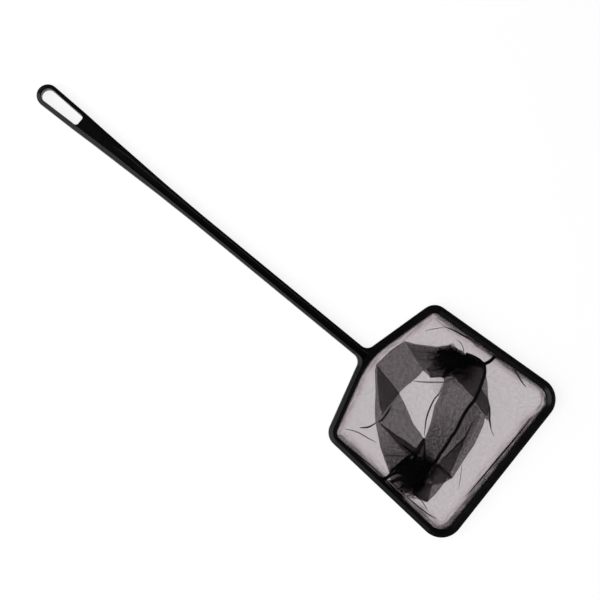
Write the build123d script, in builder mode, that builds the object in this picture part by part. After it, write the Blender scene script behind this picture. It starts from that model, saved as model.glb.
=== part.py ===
from build123d import *
import os

# Aquarium fish net lying on its flat back: a channelled handle, a bevelled five-sided rim and a net bag that is
# folded flat inside the rim. The bag's mouth faces down and its bottom can be drawn up out of the rim.
# Millimetres. +X runs from the hanging loop to the rim's tip, +Z is up, the origin is under the middle.

# Overall sizes, and how far a cut runs past the face that it opens
overall_length = 392.0
section_height = 6.0
cut_overshoot = 1.0

# Rim, measured to the sharp corners of its outline
rim_length = 120.2
rim_tip_width = 128.0
rim_shoulder_width = 113.3
rim_shoulder_setback = 15.2
rim_bar_width = 5.4
rim_tip_radius = 14.5
rim_shoulder_radius = 10.0
rim_apex_radius = 55.0

# Bevels outside the handle and rim, and inside the rim
bevel_run = 2.6
bevel_drop = 1.8
ridge_flat = 0.5
inner_bevel_drop = 2.2
edge_round = 0.4

# Shaft, paddle and loop of the handle, with stations measured from the loop's end
shaft_width = 7.35
neck_length = 5.8
neck_fillet = 6.0
loop_width = 14.6
paddle_width = 13.2
paddle_end_width = 11.8
taper_end_width = 8.4
loop_length = 34.5
paddle_end = 50.0
taper_end = 102.0
shaft_start = 133.0
taper_blend_radius = 120.0

# Hanging slot in the loop
slot_end_wall = 3.5
slot_outer_width = 9.1
slot_inner_width = 7.4
slot_corner_radius = 2.0

# Channel down the face of the handle, which ends in the rim's neck
channel_width = 3.0
channel_floor = 2.6
channel_start = 60.0
channel_nose = 12.0
channel_ramp = 62.0
channel_past_apex = 3.2
channel_end_ramp = 1.6
channel_flare_start = 4.8
channel_flare_angle = 42.0

# Tang of the rim, let into a recess in the handle's back
tang_length = 20.0
tang_width = 4.0
tang_height = 1.6
tang_clearance = 0.1

# Rabbet under the rim, the hoop pressed into it and the hem that it clamps
rabbet_width = 2.2
hoop_height = 2.2
hoop_clearance = 0.1
hoop_round = 0.4
hem_thickness = 0.4
hem_show = 1.0

# Folded net bag: where its folds lie from the hem, and how far the inner fold lies from the outer one
net_thickness = 0.4
layer_gap = 0.4
floor_gap = 0.3
outer_fold_from_apex = 8.0
outer_fold_from_tip = 19.0
outer_fold_from_left = 7.5
outer_fold_from_right = 1.5
outer_fold_radius = 36.0
inner_fold_handle_depth = 20.0
inner_fold_tip_depth = 22.0
inner_fold_left_depth = 21.0
inner_fold_right_depth = 34.0
inner_fold_radius = 13.0
largest_round_share = 0.49

# Seam across the bag and the bunched cloth at its ends
seam_from_tip = 55.0
seam_bow = 14.0
seam_width = 1.2
seam_height = 1.0
gather_height = 3.0
gather_round = 2.2
gather_seam_gap = 1.0
gather_seam_clearance = 0.1
left_gather_length = 29.0
left_gather_width = 16.0
left_gather_from_fold = 3.0
right_gather_length = 21.0
right_gather_width = 26.0
right_gather_from_fold = 4.0

# Stations along the handle and rim
loop_x = -overall_length / 2
tip_x = overall_length / 2
apex_x = tip_x - rim_length
shoulder_x = apex_x + rim_shoulder_setback
parting_x = apex_x - neck_length
seam_x = tip_x - seam_from_tip

# Heights of the channel, rabbet and net layers
rabbet_height = hoop_height + hem_thickness
layer_pitch = net_thickness + layer_gap
upper_layer_bottom = hoop_height + layer_pitch
outer_fold_top = upper_layer_bottom + layer_pitch
floor_bottom = outer_fold_top + floor_gap
floor_top = floor_bottom + net_thickness

# Insets from the rim's outline
rabbet_inset = rim_bar_width - rabbet_width
hoop_inset = rabbet_inset + hoop_clearance
hem_inset = rim_bar_width + hem_show
inner_bevel_run = rim_bar_width - bevel_run - ridge_flat

# Corners of the rim's outline and their radii. The apex is rounded only on the inside, where the neck leaves it
rim_apex = (apex_x, 0)
rim_corners = [
    ((shoulder_x, -rim_shoulder_width / 2), rim_shoulder_radius),
    ((tip_x, -rim_tip_width / 2), rim_tip_radius),
    ((tip_x, rim_tip_width / 2), rim_tip_radius),
    ((shoulder_x, rim_shoulder_width / 2), rim_shoulder_radius),
]


def rim_outline(inset):
    """Five-sided outline of the rim, drawn in by inset, with rounded corners."""
    with BuildSketch() as outline:
        with BuildLine():
            Polyline(rim_apex, *[corner for corner, radius in rim_corners], close=True)
        make_face()
        if inset > 0:
            offset(amount=-inset, kind=Kind.INTERSECTION)
            fillet(outline.vertices().sort_by_distance(rim_apex)[0], rim_apex_radius)
        for corner, radius in rim_corners:
            fillet(outline.vertices().sort_by_distance(corner)[0], radius - inset)
    return outline.sketch


def fold_outline(low, high, radius):
    """Round-cornered outline of a fold, between two opposite corners of its box."""
    length, width = high[0] - low[0], high[1] - low[1]
    corner = min(radius, largest_round_share * length, largest_round_share * width)
    with BuildSketch() as outline:
        with Locations(((low[0] + high[0]) / 2, (low[1] + high[1]) / 2)):
            RectangleRounded(length, width, corner)
    return outline.sketch


def ring(outer, inner, bottom, height):
    """Flat band between two outlines."""
    with BuildPart() as band:
        with BuildSketch(Plane.XY.offset(bottom)):
            add(outer)
            add(inner, mode=Mode.SUBTRACT)
        extrude(amount=height)
    return band.part


def write(builder, name):
    """Label a finished piece and write it to its own file."""
    builder.part.label = name
    export_step(builder.part, f"parts/{name}.step")


os.makedirs("parts", exist_ok=True)

# Space of the channel: a pointed nose in plan, flared lips, and a floor that ramps down from the face and up again
channel_x = loop_x + channel_start
channel_end = apex_x + channel_past_apex - channel_end_ramp
channel_opening = section_height + cut_overshoot
with BuildPart() as channel_space:
    with BuildSketch() as channel_plan:
        with BuildLine():
            Polyline(
                (channel_x, 0),
                (channel_x + channel_nose, -channel_width / 2),
                (channel_end + channel_end_ramp, -channel_width / 2),
                (channel_end + channel_end_ramp, channel_width / 2),
                (channel_x + channel_nose, channel_width / 2),
                close=True,
            )
        make_face()
    extrude(amount=channel_opening)
    with BuildSketch(Plane.XY.offset(channel_flare_start)):
        add(channel_plan.sketch)
    extrude(amount=channel_opening - channel_flare_start, taper=-channel_flare_angle)
    with BuildSketch(Plane.XZ):
        with BuildLine():
            Polyline(
                (channel_x, channel_opening),
                (channel_x, section_height),
                (channel_x + channel_ramp, channel_floor),
                (channel_end, channel_floor),
                (channel_end + channel_end_ramp, channel_opening),
                close=True,
            )
        make_face()
    extrude(amount=channel_width, both=True, mode=Mode.INTERSECT)

# Handle: a tapered bar with a round end, bevelled along its upper edges
loop_centre = loop_x + loop_width / 2
slot_x = loop_x + slot_end_wall
slot_centre = slot_x + slot_outer_width / 2
slot_end = loop_x + loop_length
half_widths = [
    (loop_centre, loop_width / 2),
    (slot_end, paddle_width / 2),
    (loop_x + paddle_end, paddle_end_width / 2),
    (loop_x + taper_end, taper_end_width / 2),
    (loop_x + shaft_start, shaft_width / 2),
    (parting_x, shaft_width / 2),
]
with BuildPart() as handle:
    with BuildSketch() as handle_plan:
        with BuildLine():
            Polyline(*[(x, -y) for x, y in half_widths], *reversed(half_widths))
            ThreePointArc((loop_centre, loop_width / 2), (loop_x, 0), (loop_centre, -loop_width / 2))
        make_face()
        fillet(handle_plan.vertices().group_by(Axis.X)[1:-1], taper_blend_radius)
    extrude(amount=section_height)
    handle_face = handle.faces().sort_by(Axis.Z)[-1]
    chamfer(handle_face.edges().sort_by(Axis.X)[:-1], bevel_run, bevel_drop, reference=handle_face)
    long_edges = handle.edges() - handle.edges().group_by(Axis.X)[-1] - handle.edges().filter_by(Axis.Z)
    fillet(long_edges, edge_round)
    # Hanging slot, wider at its round end
    with BuildSketch(Plane.XY.offset(-cut_overshoot)) as slot_plan:
        with BuildLine():
            Polyline(
                (slot_centre, -slot_outer_width / 2),
                (slot_end, -slot_inner_width / 2),
                (slot_end, slot_inner_width / 2),
                (slot_centre, slot_outer_width / 2),
            )
            ThreePointArc((slot_centre, slot_outer_width / 2), (slot_x, 0), (slot_centre, -slot_outer_width / 2))
        make_face()
        fillet(slot_plan.vertices().group_by(Axis.X)[-1], slot_corner_radius)
    extrude(amount=section_height + 2 * cut_overshoot, mode=Mode.SUBTRACT)
    add(channel_space.part, mode=Mode.SUBTRACT)
    # Recess for the rim's tang, open at the parting face
    with Locations((parting_x, 0, tang_height)):
        Box(
            tang_length + tang_clearance,
            tang_width + 2 * tang_clearance,
            tang_height,
            align=(Align.MAX, Align.CENTER, Align.MAX),
            mode=Mode.SUBTRACT,
        )

# Rim: a bevelled hoop with a neck, a rabbet underneath for the hoop and hem, and a tang for the handle's recess
with BuildPart() as rim:
    with BuildSketch() as rim_plan:
        add(rim_outline(0))
        with Locations((parting_x, 0)):
            Rectangle(neck_length + rim_bar_width, shaft_width, align=(Align.MIN, Align.CENTER))
        neck_corners = [
            rim_plan.vertices().sort_by_distance((apex_x, side * shaft_width / 2))[0] for side in (-1, 1)
        ]
        fillet(neck_corners, neck_fillet)
        add(rim_outline(rim_bar_width), mode=Mode.SUBTRACT)
    extrude(amount=section_height)
    rim_face = rim.faces().sort_by(Axis.Z)[-1]
    chamfer(rim_face.outer_wire().edges().sort_by(Axis.X)[1:], bevel_run, bevel_drop, reference=rim_face)
    rim_face = rim.faces().sort_by(Axis.Z)[-1]
    chamfer(rim_face.inner_wires().edges(), inner_bevel_run, inner_bevel_drop, reference=rim_face)
    long_edges = rim.edges() - rim.edges().group_by(Axis.X)[0] - rim.edges().filter_by(Axis.Z)
    fillet(long_edges, edge_round)
    with BuildSketch(Plane.XY.offset(-cut_overshoot)):
        add(rim_outline(rabbet_inset))
    extrude(amount=rabbet_height + cut_overshoot, mode=Mode.SUBTRACT)
    add(channel_space.part, mode=Mode.SUBTRACT)
    with Locations((parting_x, 0, 0)):
        Box(tang_length, tang_width, tang_height, align=(Align.MAX, Align.CENTER, Align.MIN))

# Retaining hoop, pressed into the rabbet from below
with BuildPart() as retaining_hoop:
    add(ring(rim_outline(hoop_inset), rim_outline(rim_bar_width), 0, hoop_height))
    fillet(retaining_hoop.faces().sort_by(Axis.Z)[0].inner_wires().edges(), hoop_round)

# Hem band: the doubled edge of the net, clamped between the hoop and the rim
with BuildPart() as hem_band:
    add(ring(rim_outline(hoop_inset), rim_outline(hem_inset), hoop_height, hem_thickness))

# Outlines of the two folds round the flattened bag
left_y = rim_shoulder_width / 2 - hem_inset
outer_low = (apex_x + hem_inset + outer_fold_from_apex, -left_y + outer_fold_from_right)
outer_high = (tip_x - hem_inset - outer_fold_from_tip, left_y - outer_fold_from_left)
inner_low = (outer_low[0] + inner_fold_handle_depth, outer_low[1] + inner_fold_right_depth)
inner_high = (outer_high[0] - inner_fold_tip_depth, outer_high[1] - inner_fold_left_depth)
outer_fold = fold_outline(outer_low, outer_high, outer_fold_radius)
inner_fold = fold_outline(inner_low, inner_high, inner_fold_radius)
with BuildSketch() as outer_fold_inside:
    add(outer_fold)
    offset(amount=-net_thickness)
with BuildSketch() as inner_fold_outside:
    add(inner_fold)
    offset(amount=net_thickness)

# Wall of the bag, folded once in and once out: two layers and the turns between them
with BuildPart() as folded_wall:
    add(ring(rim_outline(hem_inset), inner_fold, hoop_height, net_thickness))
    add(ring(inner_fold_outside.sketch, inner_fold, hoop_height, layer_pitch + net_thickness))
    add(ring(outer_fold, inner_fold, upper_layer_bottom, net_thickness))
    add(ring(outer_fold, outer_fold_inside.sketch, upper_layer_bottom, layer_pitch))

# Net walls and side seams: the folded wall is sewn from two panels along a seam on each side
near_edge = Plane.YZ.offset(seam_x - seam_width / 2)
far_edge = Plane.YZ.offset(seam_x + seam_width / 2)
with BuildPart() as net_wall_handle_side:
    add(folded_wall.part)
    split(bisect_by=near_edge, keep=Keep.BOTTOM)
with BuildPart() as net_wall_tip_side:
    add(folded_wall.part)
    split(bisect_by=far_edge, keep=Keep.TOP)
with BuildPart() as side_seams:
    add(folded_wall.part)
    split(bisect_by=near_edge, keep=Keep.TOP)
    split(bisect_by=far_edge, keep=Keep.BOTTOM)
with BuildPart() as side_seam_left:
    add(side_seams.part)
    split(bisect_by=Plane.XZ, keep=Keep.BOTTOM)
with BuildPart() as side_seam_right:
    add(side_seams.part)
    split(bisect_by=Plane.XZ, keep=Keep.TOP)

# Net floor and bottom seam: the bag's bottom, lying over the folded wall, with a seam that bows towards the tip
seam_half_chord = (outer_high[1] - outer_low[1]) / 2
bow_radius = (seam_half_chord**2 + seam_bow**2) / (2 * seam_bow)
bow_centre = (seam_x + seam_bow - bow_radius, (outer_low[1] + outer_high[1]) / 2)
seam_near_radius = bow_radius - seam_width / 2
seam_far_radius = bow_radius + seam_width / 2
with BuildPart() as net_floor_handle_side:
    with BuildSketch(Plane.XY.offset(floor_bottom)):
        add(outer_fold)
        with Locations(bow_centre):
            Circle(seam_near_radius, mode=Mode.INTERSECT)
    extrude(amount=net_thickness)
with BuildPart() as net_floor_tip_side:
    with BuildSketch(Plane.XY.offset(floor_bottom)):
        add(outer_fold)
        with Locations(bow_centre):
            Circle(seam_far_radius, mode=Mode.SUBTRACT)
    extrude(amount=net_thickness)


def seam_band(clearance):
    """Band of the bowed seam across the bag's bottom, with a clearance round it."""
    with BuildPart() as band:
        with BuildSketch(Plane.XY.offset(floor_bottom)):
            add(outer_fold)
            with Locations(bow_centre):
                Circle(seam_far_radius + clearance, mode=Mode.INTERSECT)
                Circle(seam_near_radius - clearance, mode=Mode.SUBTRACT)
        extrude(amount=seam_height + clearance)
    return band


bottom_seam = seam_band(0)


def gather(centre, length, width):
    """Low mound of bunched cloth on the bag's bottom, lying over the seam where it meets it."""
    with BuildPart() as mound:
        with BuildSketch(Plane.XY.offset(floor_top)):
            with Locations(centre):
                Ellipse(length / 2, width / 2)
        extrude(amount=gather_height)
        fillet(mound.edges().sort_by(Axis.Z)[-1], gather_round)
        add(seam_band(gather_seam_clearance).part, mode=Mode.SUBTRACT)
    return mound


# Corner gathers beside the ends of the bottom seam
left_gather_x = seam_x - seam_width / 2 - gather_seam_gap - left_gather_length / 2
left_gather_y = outer_high[1] - left_gather_from_fold - left_gather_width / 2
right_gather_x = seam_x + seam_width / 2 + gather_seam_gap + right_gather_length / 2
right_gather_y = outer_low[1] + right_gather_from_fold + right_gather_width / 2
corner_gather_left = gather((left_gather_x, left_gather_y), left_gather_length, left_gather_width)
corner_gather_right = gather((right_gather_x, right_gather_y), right_gather_length, right_gather_width)

write(handle, "handle")
write(rim, "rim")
write(retaining_hoop, "retaining_hoop")
write(hem_band, "hem_band")
write(net_wall_handle_side, "net_wall_handle_side")
write(net_wall_tip_side, "net_wall_tip_side")
write(side_seam_left, "side_seam_left")
write(side_seam_right, "side_seam_right")
write(net_floor_handle_side, "net_floor_handle_side")
write(net_floor_tip_side, "net_floor_tip_side")
write(bottom_seam, "bottom_seam")
write(corner_gather_left, "corner_gather_left")
write(corner_gather_right, "corner_gather_right")
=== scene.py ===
import math
import random

import bmesh
import bpy
import numpy as np
from mathutils import Matrix, Vector, noise
from mathutils.geometry import delaunay_2d_cdt


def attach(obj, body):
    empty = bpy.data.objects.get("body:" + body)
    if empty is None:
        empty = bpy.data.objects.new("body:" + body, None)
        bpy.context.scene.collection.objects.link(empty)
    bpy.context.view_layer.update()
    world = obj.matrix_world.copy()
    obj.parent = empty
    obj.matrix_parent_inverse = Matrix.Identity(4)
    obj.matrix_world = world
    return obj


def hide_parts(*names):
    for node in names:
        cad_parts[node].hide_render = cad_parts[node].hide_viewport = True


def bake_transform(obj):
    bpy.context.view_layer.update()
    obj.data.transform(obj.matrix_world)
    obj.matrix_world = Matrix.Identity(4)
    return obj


# Aquarium fish net lying on its flat back, seen from above. The moulded handle, rim and hoop are the CAD
# pieces with new finishes. The net is modelled here as two sewn panels of see-through mesh, folded flat
# inside the rim. Plan sizes and heights are in millimetres until a mesh is written, in the frame of the
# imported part. Angles of the cloth are in radians.

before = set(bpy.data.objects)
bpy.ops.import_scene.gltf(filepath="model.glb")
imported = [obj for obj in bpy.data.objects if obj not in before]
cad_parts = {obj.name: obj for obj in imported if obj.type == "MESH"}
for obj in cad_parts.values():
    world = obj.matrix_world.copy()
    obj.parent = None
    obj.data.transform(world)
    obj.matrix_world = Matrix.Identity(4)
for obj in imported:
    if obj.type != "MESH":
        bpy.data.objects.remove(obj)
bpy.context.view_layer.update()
MM = 0.001
TINY = 1e-9

# Rim, as the part's source has it: sharp corners of its outline, anticlockwise, and their radii
RIM_TIP_X = 196.0
RIM_LENGTH = 120.2
RIM_TIP_WIDTH = 128.0
RIM_SHOULDER_WIDTH = 113.3
RIM_SHOULDER_SETBACK = 15.2
RIM_TIP_RADIUS = 14.5
RIM_SHOULDER_RADIUS = 10.0
RIM_APEX_RADIUS = 55.0
RIM_BAR_WIDTH = 5.4
RIM_APEX_X = RIM_TIP_X - RIM_LENGTH
RIM_SHOULDER_X = RIM_APEX_X + RIM_SHOULDER_SETBACK
RIM_CORNERS = [
    ((RIM_APEX_X, 0), RIM_APEX_RADIUS),
    ((RIM_SHOULDER_X, -RIM_SHOULDER_WIDTH / 2), RIM_SHOULDER_RADIUS),
    ((RIM_TIP_X, -RIM_TIP_WIDTH / 2), RIM_TIP_RADIUS),
    ((RIM_TIP_X, RIM_TIP_WIDTH / 2), RIM_TIP_RADIUS),
    ((RIM_SHOULDER_X, RIM_SHOULDER_WIDTH / 2), RIM_SHOULDER_RADIUS),
]
CORNER_STEPS = 14

# Net in the rim: how far in it is clamped and shows, the heights of its hem and of its folded bottom, and how
# far that bottom draws out
CLAMP_INSET = 3.7
HEM_INSET = 6.4
HEM_HEIGHT = 2.4
BOTTOM_HEIGHT = 4.3
BAG_DRAW = 45.0

# Folded walls and bottom: the share of the draw that the window fold follows, the crown and the ripples
FOLD_SHARE = 0.5
FOLD_STEPS = 20000
FLOOR_CROWN = 0.15
FLOOR_CROWN_RUN = 8.0
FLOOR_RIPPLE = 0.5
RIPPLE_LENGTH = 13.0
RIPPLE_SHARE = 0.03
RIPPLE_FADE = 7.0
LOWER_RIPPLE_SEED = 1.5
UPPER_RIPPLE_SEED = 4.5
FLOOR_RIPPLE_SEED = 8.5

# Sheets: the spacing of their points, how far each strays and how far it keeps off the edge, in spacings, and
# the turns of the weave
CLOTH_SPACING = 1.6
TUCK_SPACING = 1.1
SCATTER = 0.2
EDGE_CLEARANCE = 0.55
FILL_INSIDE = 1
FILL_TOLERANCE = 1e-6
WELD_REACH = 1e-6
LOWER_WALL_TURN = 0.10
UPPER_WALL_TURN = 0.62
FLOOR_TURN = 1.15
LOWER_WALL_SEED = 11
UPPER_WALL_SEED = 12
FLOOR_SEED = 13

# Tucks: lift off the bottom, rise of each layer, fullness away from the edge, and turns of the weave
TUCK_LIFT = 0.05
TUCK_LAYER = 0.03
TUCK_PUFF = 0.06
TUCK_LAYER_PUFF = 0.1
TUCK_LOOSE_RUN = 2.0
TUCK_TURN = 0.3
TUCK_TURN_STEP = 0.7
TUCK_LAYER_TURN = 0.4
TUCK_SEED = 20

# Slack layers and the sheet of painted shade: lift off the bottom, turn of the weave and seed
SLACK_LIFT = 0.3
SLACK_TURN = 0.4
SLACK_SEED = 50

# Creases: spread of their width, taper of their layers and ends, rises, and turns of the weave
CREASE_STEP = 0.7
CREASE_ROWS = 5
CREASE_SPREAD = 1.5
CREASE_END = 0.08
CREASE_TAPER = 0.7
CREASE_LIFT = 0.05
CREASE_LAYER = 0.04
CREASE_RIDGE = 0.12
CREASE_TURN_STEP = 0.5
CREASE_LAYER_TURN = 0.3
FLOOR_CREASE_RISE = 1.0
WALL_CREASE_RISE = 3.0

# Fold round the light window in the middle of the flattened bag, anticlockwise: the handle side from the left
# seam to the right one, and the tip side back
WINDOW_HANDLE_SIDE = [
    (126.6, 21.8), (120.0, 15.9), (118.1, 16.6), (113.5, 16.7), (113.4, 12.0), (112.2, 5.5),
    (111.3, 1.6), (110.5, -4.6), (117.6, -7.6), (124.0, -10.9), (130.4, -14.2), (136.9, -15.8),
    (142.1, -17.5),
]
WINDOW_TIP_SIDE = [
    (142.1, -17.5), (140.9, -13.0), (138.5, -6.4), (136.0, -1.2), (133.5, 4.0), (132.2, 10.6),
    (129.8, 17.2), (128.6, 19.8), (126.6, 21.8),
]

# Fold round the outside of the flattened bag, in the same order
OUTSIDE_HANDLE_SIDE = [
    (142.8, 44.1), (138.2, 44.7), (132.9, 44.1), (128.4, 42.9), (121.8, 42.2), (117.3, 41.5),
    (112.5, 36.4), (110.6, 34.4), (105.3, 31.2), (98.7, 26.9), (92.1, 24.0), (90.0, 18.2),
    (88.6, 12.2), (87.9, 5.7), (87.1, 0.5), (89.0, -3.4), (94.7, -10.0), (98.0, -13.9), (104.3, -22.4),
    (110.0, -28.9), (117.1, -34.8), (123.4, -40.0), (129.8, -44.0), (138.1, -48.9), (142.5, -52.5),
]
OUTSIDE_TIP_SIDE = [
    (142.5, -52.5), (151.7, -53.2), (158.8, -50.1), (167.3, -48.8), (169.0, -47.5), (170.0, -40.4),
    (169.9, -34.0), (169.8, -28.2), (172.1, -25.6), (171.3, -17.7), (170.3, -8.0), (169.8, -0.2),
    (168.7, 5.1), (167.5, 9.7), (166.3, 14.3), (164.4, 18.2), (169.7, 17.9), (167.1, 20.1),
    (163.3, 25.5), (157.5, 30.1), (151.1, 37.4), (145.4, 42.0), (142.8, 44.1),
]

# Seams in plan: from the hem in to the window fold on each side, back out, and across the bag's bottom
LEFT_SEAM_HEM_X = 144.7
RIGHT_SEAM_HEM_X = 136.2
LEFT_SEAM_IN = [
    (144.6, 56.6), (144.4, 53.6), (144.2, 51.0), (143.5, 48.4), (142.2, 45.8), (141.5, 44.6),
    (134.5, 41.4), (128.5, 36.5), (125.8, 29.5), (126.6, 21.8),
]
LEFT_SEAM_OUT = [(126.6, 21.8), (127.5, 30.5), (131.0, 38.0), (142.8, 44.0)]
RIGHT_SEAM_IN = [
    (137.0, -54.9), (138.7, -52.5), (139.4, -49.2), (138.5, -46.6), (139.5, -42.8), (140.4, -37.6),
    (141.1, -33.1), (142.8, -25.8), (142.1, -17.5),
]
RIGHT_SEAM_OUT = [(142.1, -17.5), (145.1, -31.3), (147.8, -43.2), (142.5, -52.5)]
BOTTOM_SEAM = [
    (142.8, 44.1), (144.1, 43.0), (146.0, 40.7), (147.3, 37.4), (149.1, 32.1), (150.3, 28.1),
    (151.5, 22.2), (151.4, 18.3), (151.9, 11.8), (153.1, 5.9), (154.5, -0.0), (154.7, -5.3),
    (155.3, -9.2), (155.8, -14.4), (156.0, -19.6), (156.5, -24.8), (153.1, -32.3), (147.8, -43.2),
    (142.5, -52.5),
]
BOTTOM_SEAM_LEFT_END = [(128.4, 42.9), (132.9, 44.4), (138.2, 45.3), (142.2, 44.7)]

# Tucks: flaps of the folded wall that lie on the panel of each side, with how many layers each adds
TUCKS_HANDLE_SIDE = [
    # below the handle, where two flaps cross
    (2, [
        (87.8, 0.5), (94.9, -1.2), (99.5, -2.2), (104.7, -3.3), (110.8, -4.6), (110.6, -14.0),
        (110.8, -22.4), (105.7, -19.2), (99.9, -13.2), (94.8, -8.1),
    ]),
    # upper band beside the left gather, and its loose corner
    (1, [
        (94.0, 23.4), (98.7, 26.0), (105.3, 29.2), (110.5, 31.7), (113.2, 33.0), (115.7, 27.8),
        (114.2, 21.2), (113.5, 17.0), (110.3, 18.0), (105.1, 19.4), (98.6, 21.3),
    ]),
    (2, [
        (114.8, 23.6), (114.2, 18.2), (116.8, 18.1), (120.3, 16.0), (126.7, 22.0), (131.0, 26.7),
        (132.7, 30.3), (129.1, 30.7), (123.0, 29.8), (116.1, 29.2),
    ]),
    # between the left gather and the bottom seam
    (2, [
        (131.0, 26.7), (136.5, 25.7), (141.3, 25.0), (147.0, 24.2), (151.6, 23.5), (150.8, 28.1),
        (149.6, 32.1), (147.8, 37.4), (146.5, 40.7), (142.8, 44.1), (137.5, 43.5), (133.4, 42.2),
        (129.5, 35.1),
    ]),
    # long pleat from the handle side into the right gather, the flap below it and the one above
    (3, [
        (111.3, -27.7), (120.4, -27.1), (126.9, -26.8), (133.4, -25.9), (143.1, -25.4), (143.7, -29.9),
        (141.8, -32.7), (139.8, -32.1), (133.3, -31.4), (126.8, -30.3), (120.4, -29.0), (112.6, -28.0),
    ]),
    (1, [
        (143.3, -18.9), (145.9, -20.8), (151.1, -21.5), (156.2, -24.2), (156.1, -27.4), (149.6, -27.3),
        (144.4, -27.3),
    ]),
]
TUCKS_TIP_SIDE = [
    # upper band beyond the seam
    (2, [(149.3, 32.0), (157.5, 29.5), (163.3, 25.5), (164.5, 19.7), (157.3, 20.8), (151.3, 22.8)]),
    # wedge down the tip side of the seam, and the strip between it and the seam
    (2, [
        (162.1, -0.1), (164.5, -5.3), (165.7, -11.2), (168.1, -19.1), (168.6, -22.9), (170.4, -25.6),
        (162.6, -26.1), (158.8, -25.5), (158.9, -20.9), (160.5, -11.2), (161.3, -4.6),
    ]),
    # two corners of the lower flap
    (2, [(158.1, -25.5), (171.8, -25.6), (169.7, -31.4), (165.0, -37.2), (159.9, -33.9)]),
    (2, [
        (155.7, -41.6), (160.4, -38.5), (164.3, -36.5), (169.3, -47.5), (167.3, -48.8), (158.8, -50.1),
        (155.6, -46.8),
    ]),
]

# Slack cloth and a sheet of painted shade: bunched layers that thin out, each with its outline, the two
# ends of the line along which it closes up, and its full cover
SLACK_AND_SHADE_HANDLE_SIDE = [
    # from the window's edge down to the right gather
    (
        [
            (131.0, 12.5), (136.5, 1.0), (139.5, -7.0), (142.6, -17.0), (144.7, -26.3), (156.2, -25.4),
            (155.9, -19.4), (154.6, -3.3), (152.0, 11.0), (150.5, 14.0),
        ],
        (143.0, 9.0), (148.5, -13.0), 0.46,
    ),
    # at the top of the window: painted shade beside the wall's edge
    (
        [(117.0, 19.0), (121.5, 16.8), (127.5, 23.0), (135.5, 15.0), (131.5, 9.0), (123.5, 12.0)],
        (121.5, 12.0), (131.0, 17.5), 0.22,
    ),
    # the flap that runs into the right gather from the side
    (
        [
            (112.2, -28.0), (120.4, -28.7), (133.3, -31.1), (140.7, -32.2), (138.8, -47.9),
            (129.9, -43.5), (123.5, -39.6), (117.1, -34.3),
        ],
        (116.0, -31.5), (136.0, -39.5), 0.5,
    ),
]
SLACK_TIP_SIDE = [
    # down the tip side of the seam
    (
        [
            (151.5, 22.2), (151.4, 18.3), (151.9, 11.8), (153.1, 5.9), (154.5, -0.0), (155.8, -14.4),
            (156.5, -24.8), (167.0, -25.4), (168.0, -19.0), (167.0, -11.2), (165.6, -1.4),
            (164.2, 6.0), (162.4, 12.7), (160.0, 19.5),
        ],
        (163.0, -17.0), (160.0, -2.0), 0.33,
    ),
    # below the right gather, out to the lower flap's tail
    (
        [
            (147.8, -52.3), (151.7, -46.7), (157.0, -40.8), (156.6, -36.1), (162.5, -33.0),
            (164.7, -37.9), (163.0, -44.1), (169.6, -47.4), (164.2, -49.8), (159.2, -52.7),
            (153.4, -54.3),
        ],
        (176.3, -56.5), (151.0, -52.1), 0.75,
    ),
]

# Creases: narrow pleats with their widest width and how many times the cloth is doubled there
FLOOR_CREASES = [
    ([(97.5, 24.8), (103.0, 28.0), (108.5, 31.5), (112.5, 34.0)], 0.5, 1),
    ([(100.5, 22.0), (105.5, 25.5), (110.5, 29.0), (114.0, 31.5)], 0.5, 1),
    ([(106.0, 20.0), (110.0, 23.2), (114.0, 26.6), (117.5, 29.0)], 0.5, 1),
    ([(116.0, 18.6), (119.5, 22.0), (122.0, 26.0), (123.5, 29.5)], 0.6, 1),
    ([(133.5, 22.8), (136.5, 26.5), (137.5, 31.0), (136.0, 35.0)], 0.6, 1),
    ([(128.5, 20.5), (131.5, 24.5), (132.5, 28.5)], 0.6, 1),
    ([(112.0, 6.8), (118.0, 10.7), (124.6, 15.9), (129.2, 19.8), (132.5, 23.7)], 0.8, 1),
    ([
        (128.6, 18.5), (130.9, 11.9), (130.8, 6.7), (132.7, -1.2), (135.1, -7.1), (138.3, -12.3),
        (140.8, -16.3),
    ], 0.8, 2),
    ([(111.3, -14.0), (112.2, -17.2), (112.7, -21.8), (112.7, -25.7), (111.3, -28.3)], 1.2, 2),
    ([
        (159.1, 14.9), (161.2, 3.8), (162.0, -1.4), (160.9, -6.6), (160.5, -11.2), (159.6, -17.6),
        (158.2, -22.2),
    ], 0.9, 2),
    ([(144.8, -41.5), (142.1, -44.8), (140.1, -47.2)], 1.0, 2),
    ([(127.9, -42.4), (133.2, -38.2), (140.5, -33.1)], 0.7, 1),
    ([(156.2, -25.4), (162.2, -25.2), (167.2, -25.3), (172.0, -25.6)], 1.8, 1),
]
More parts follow.
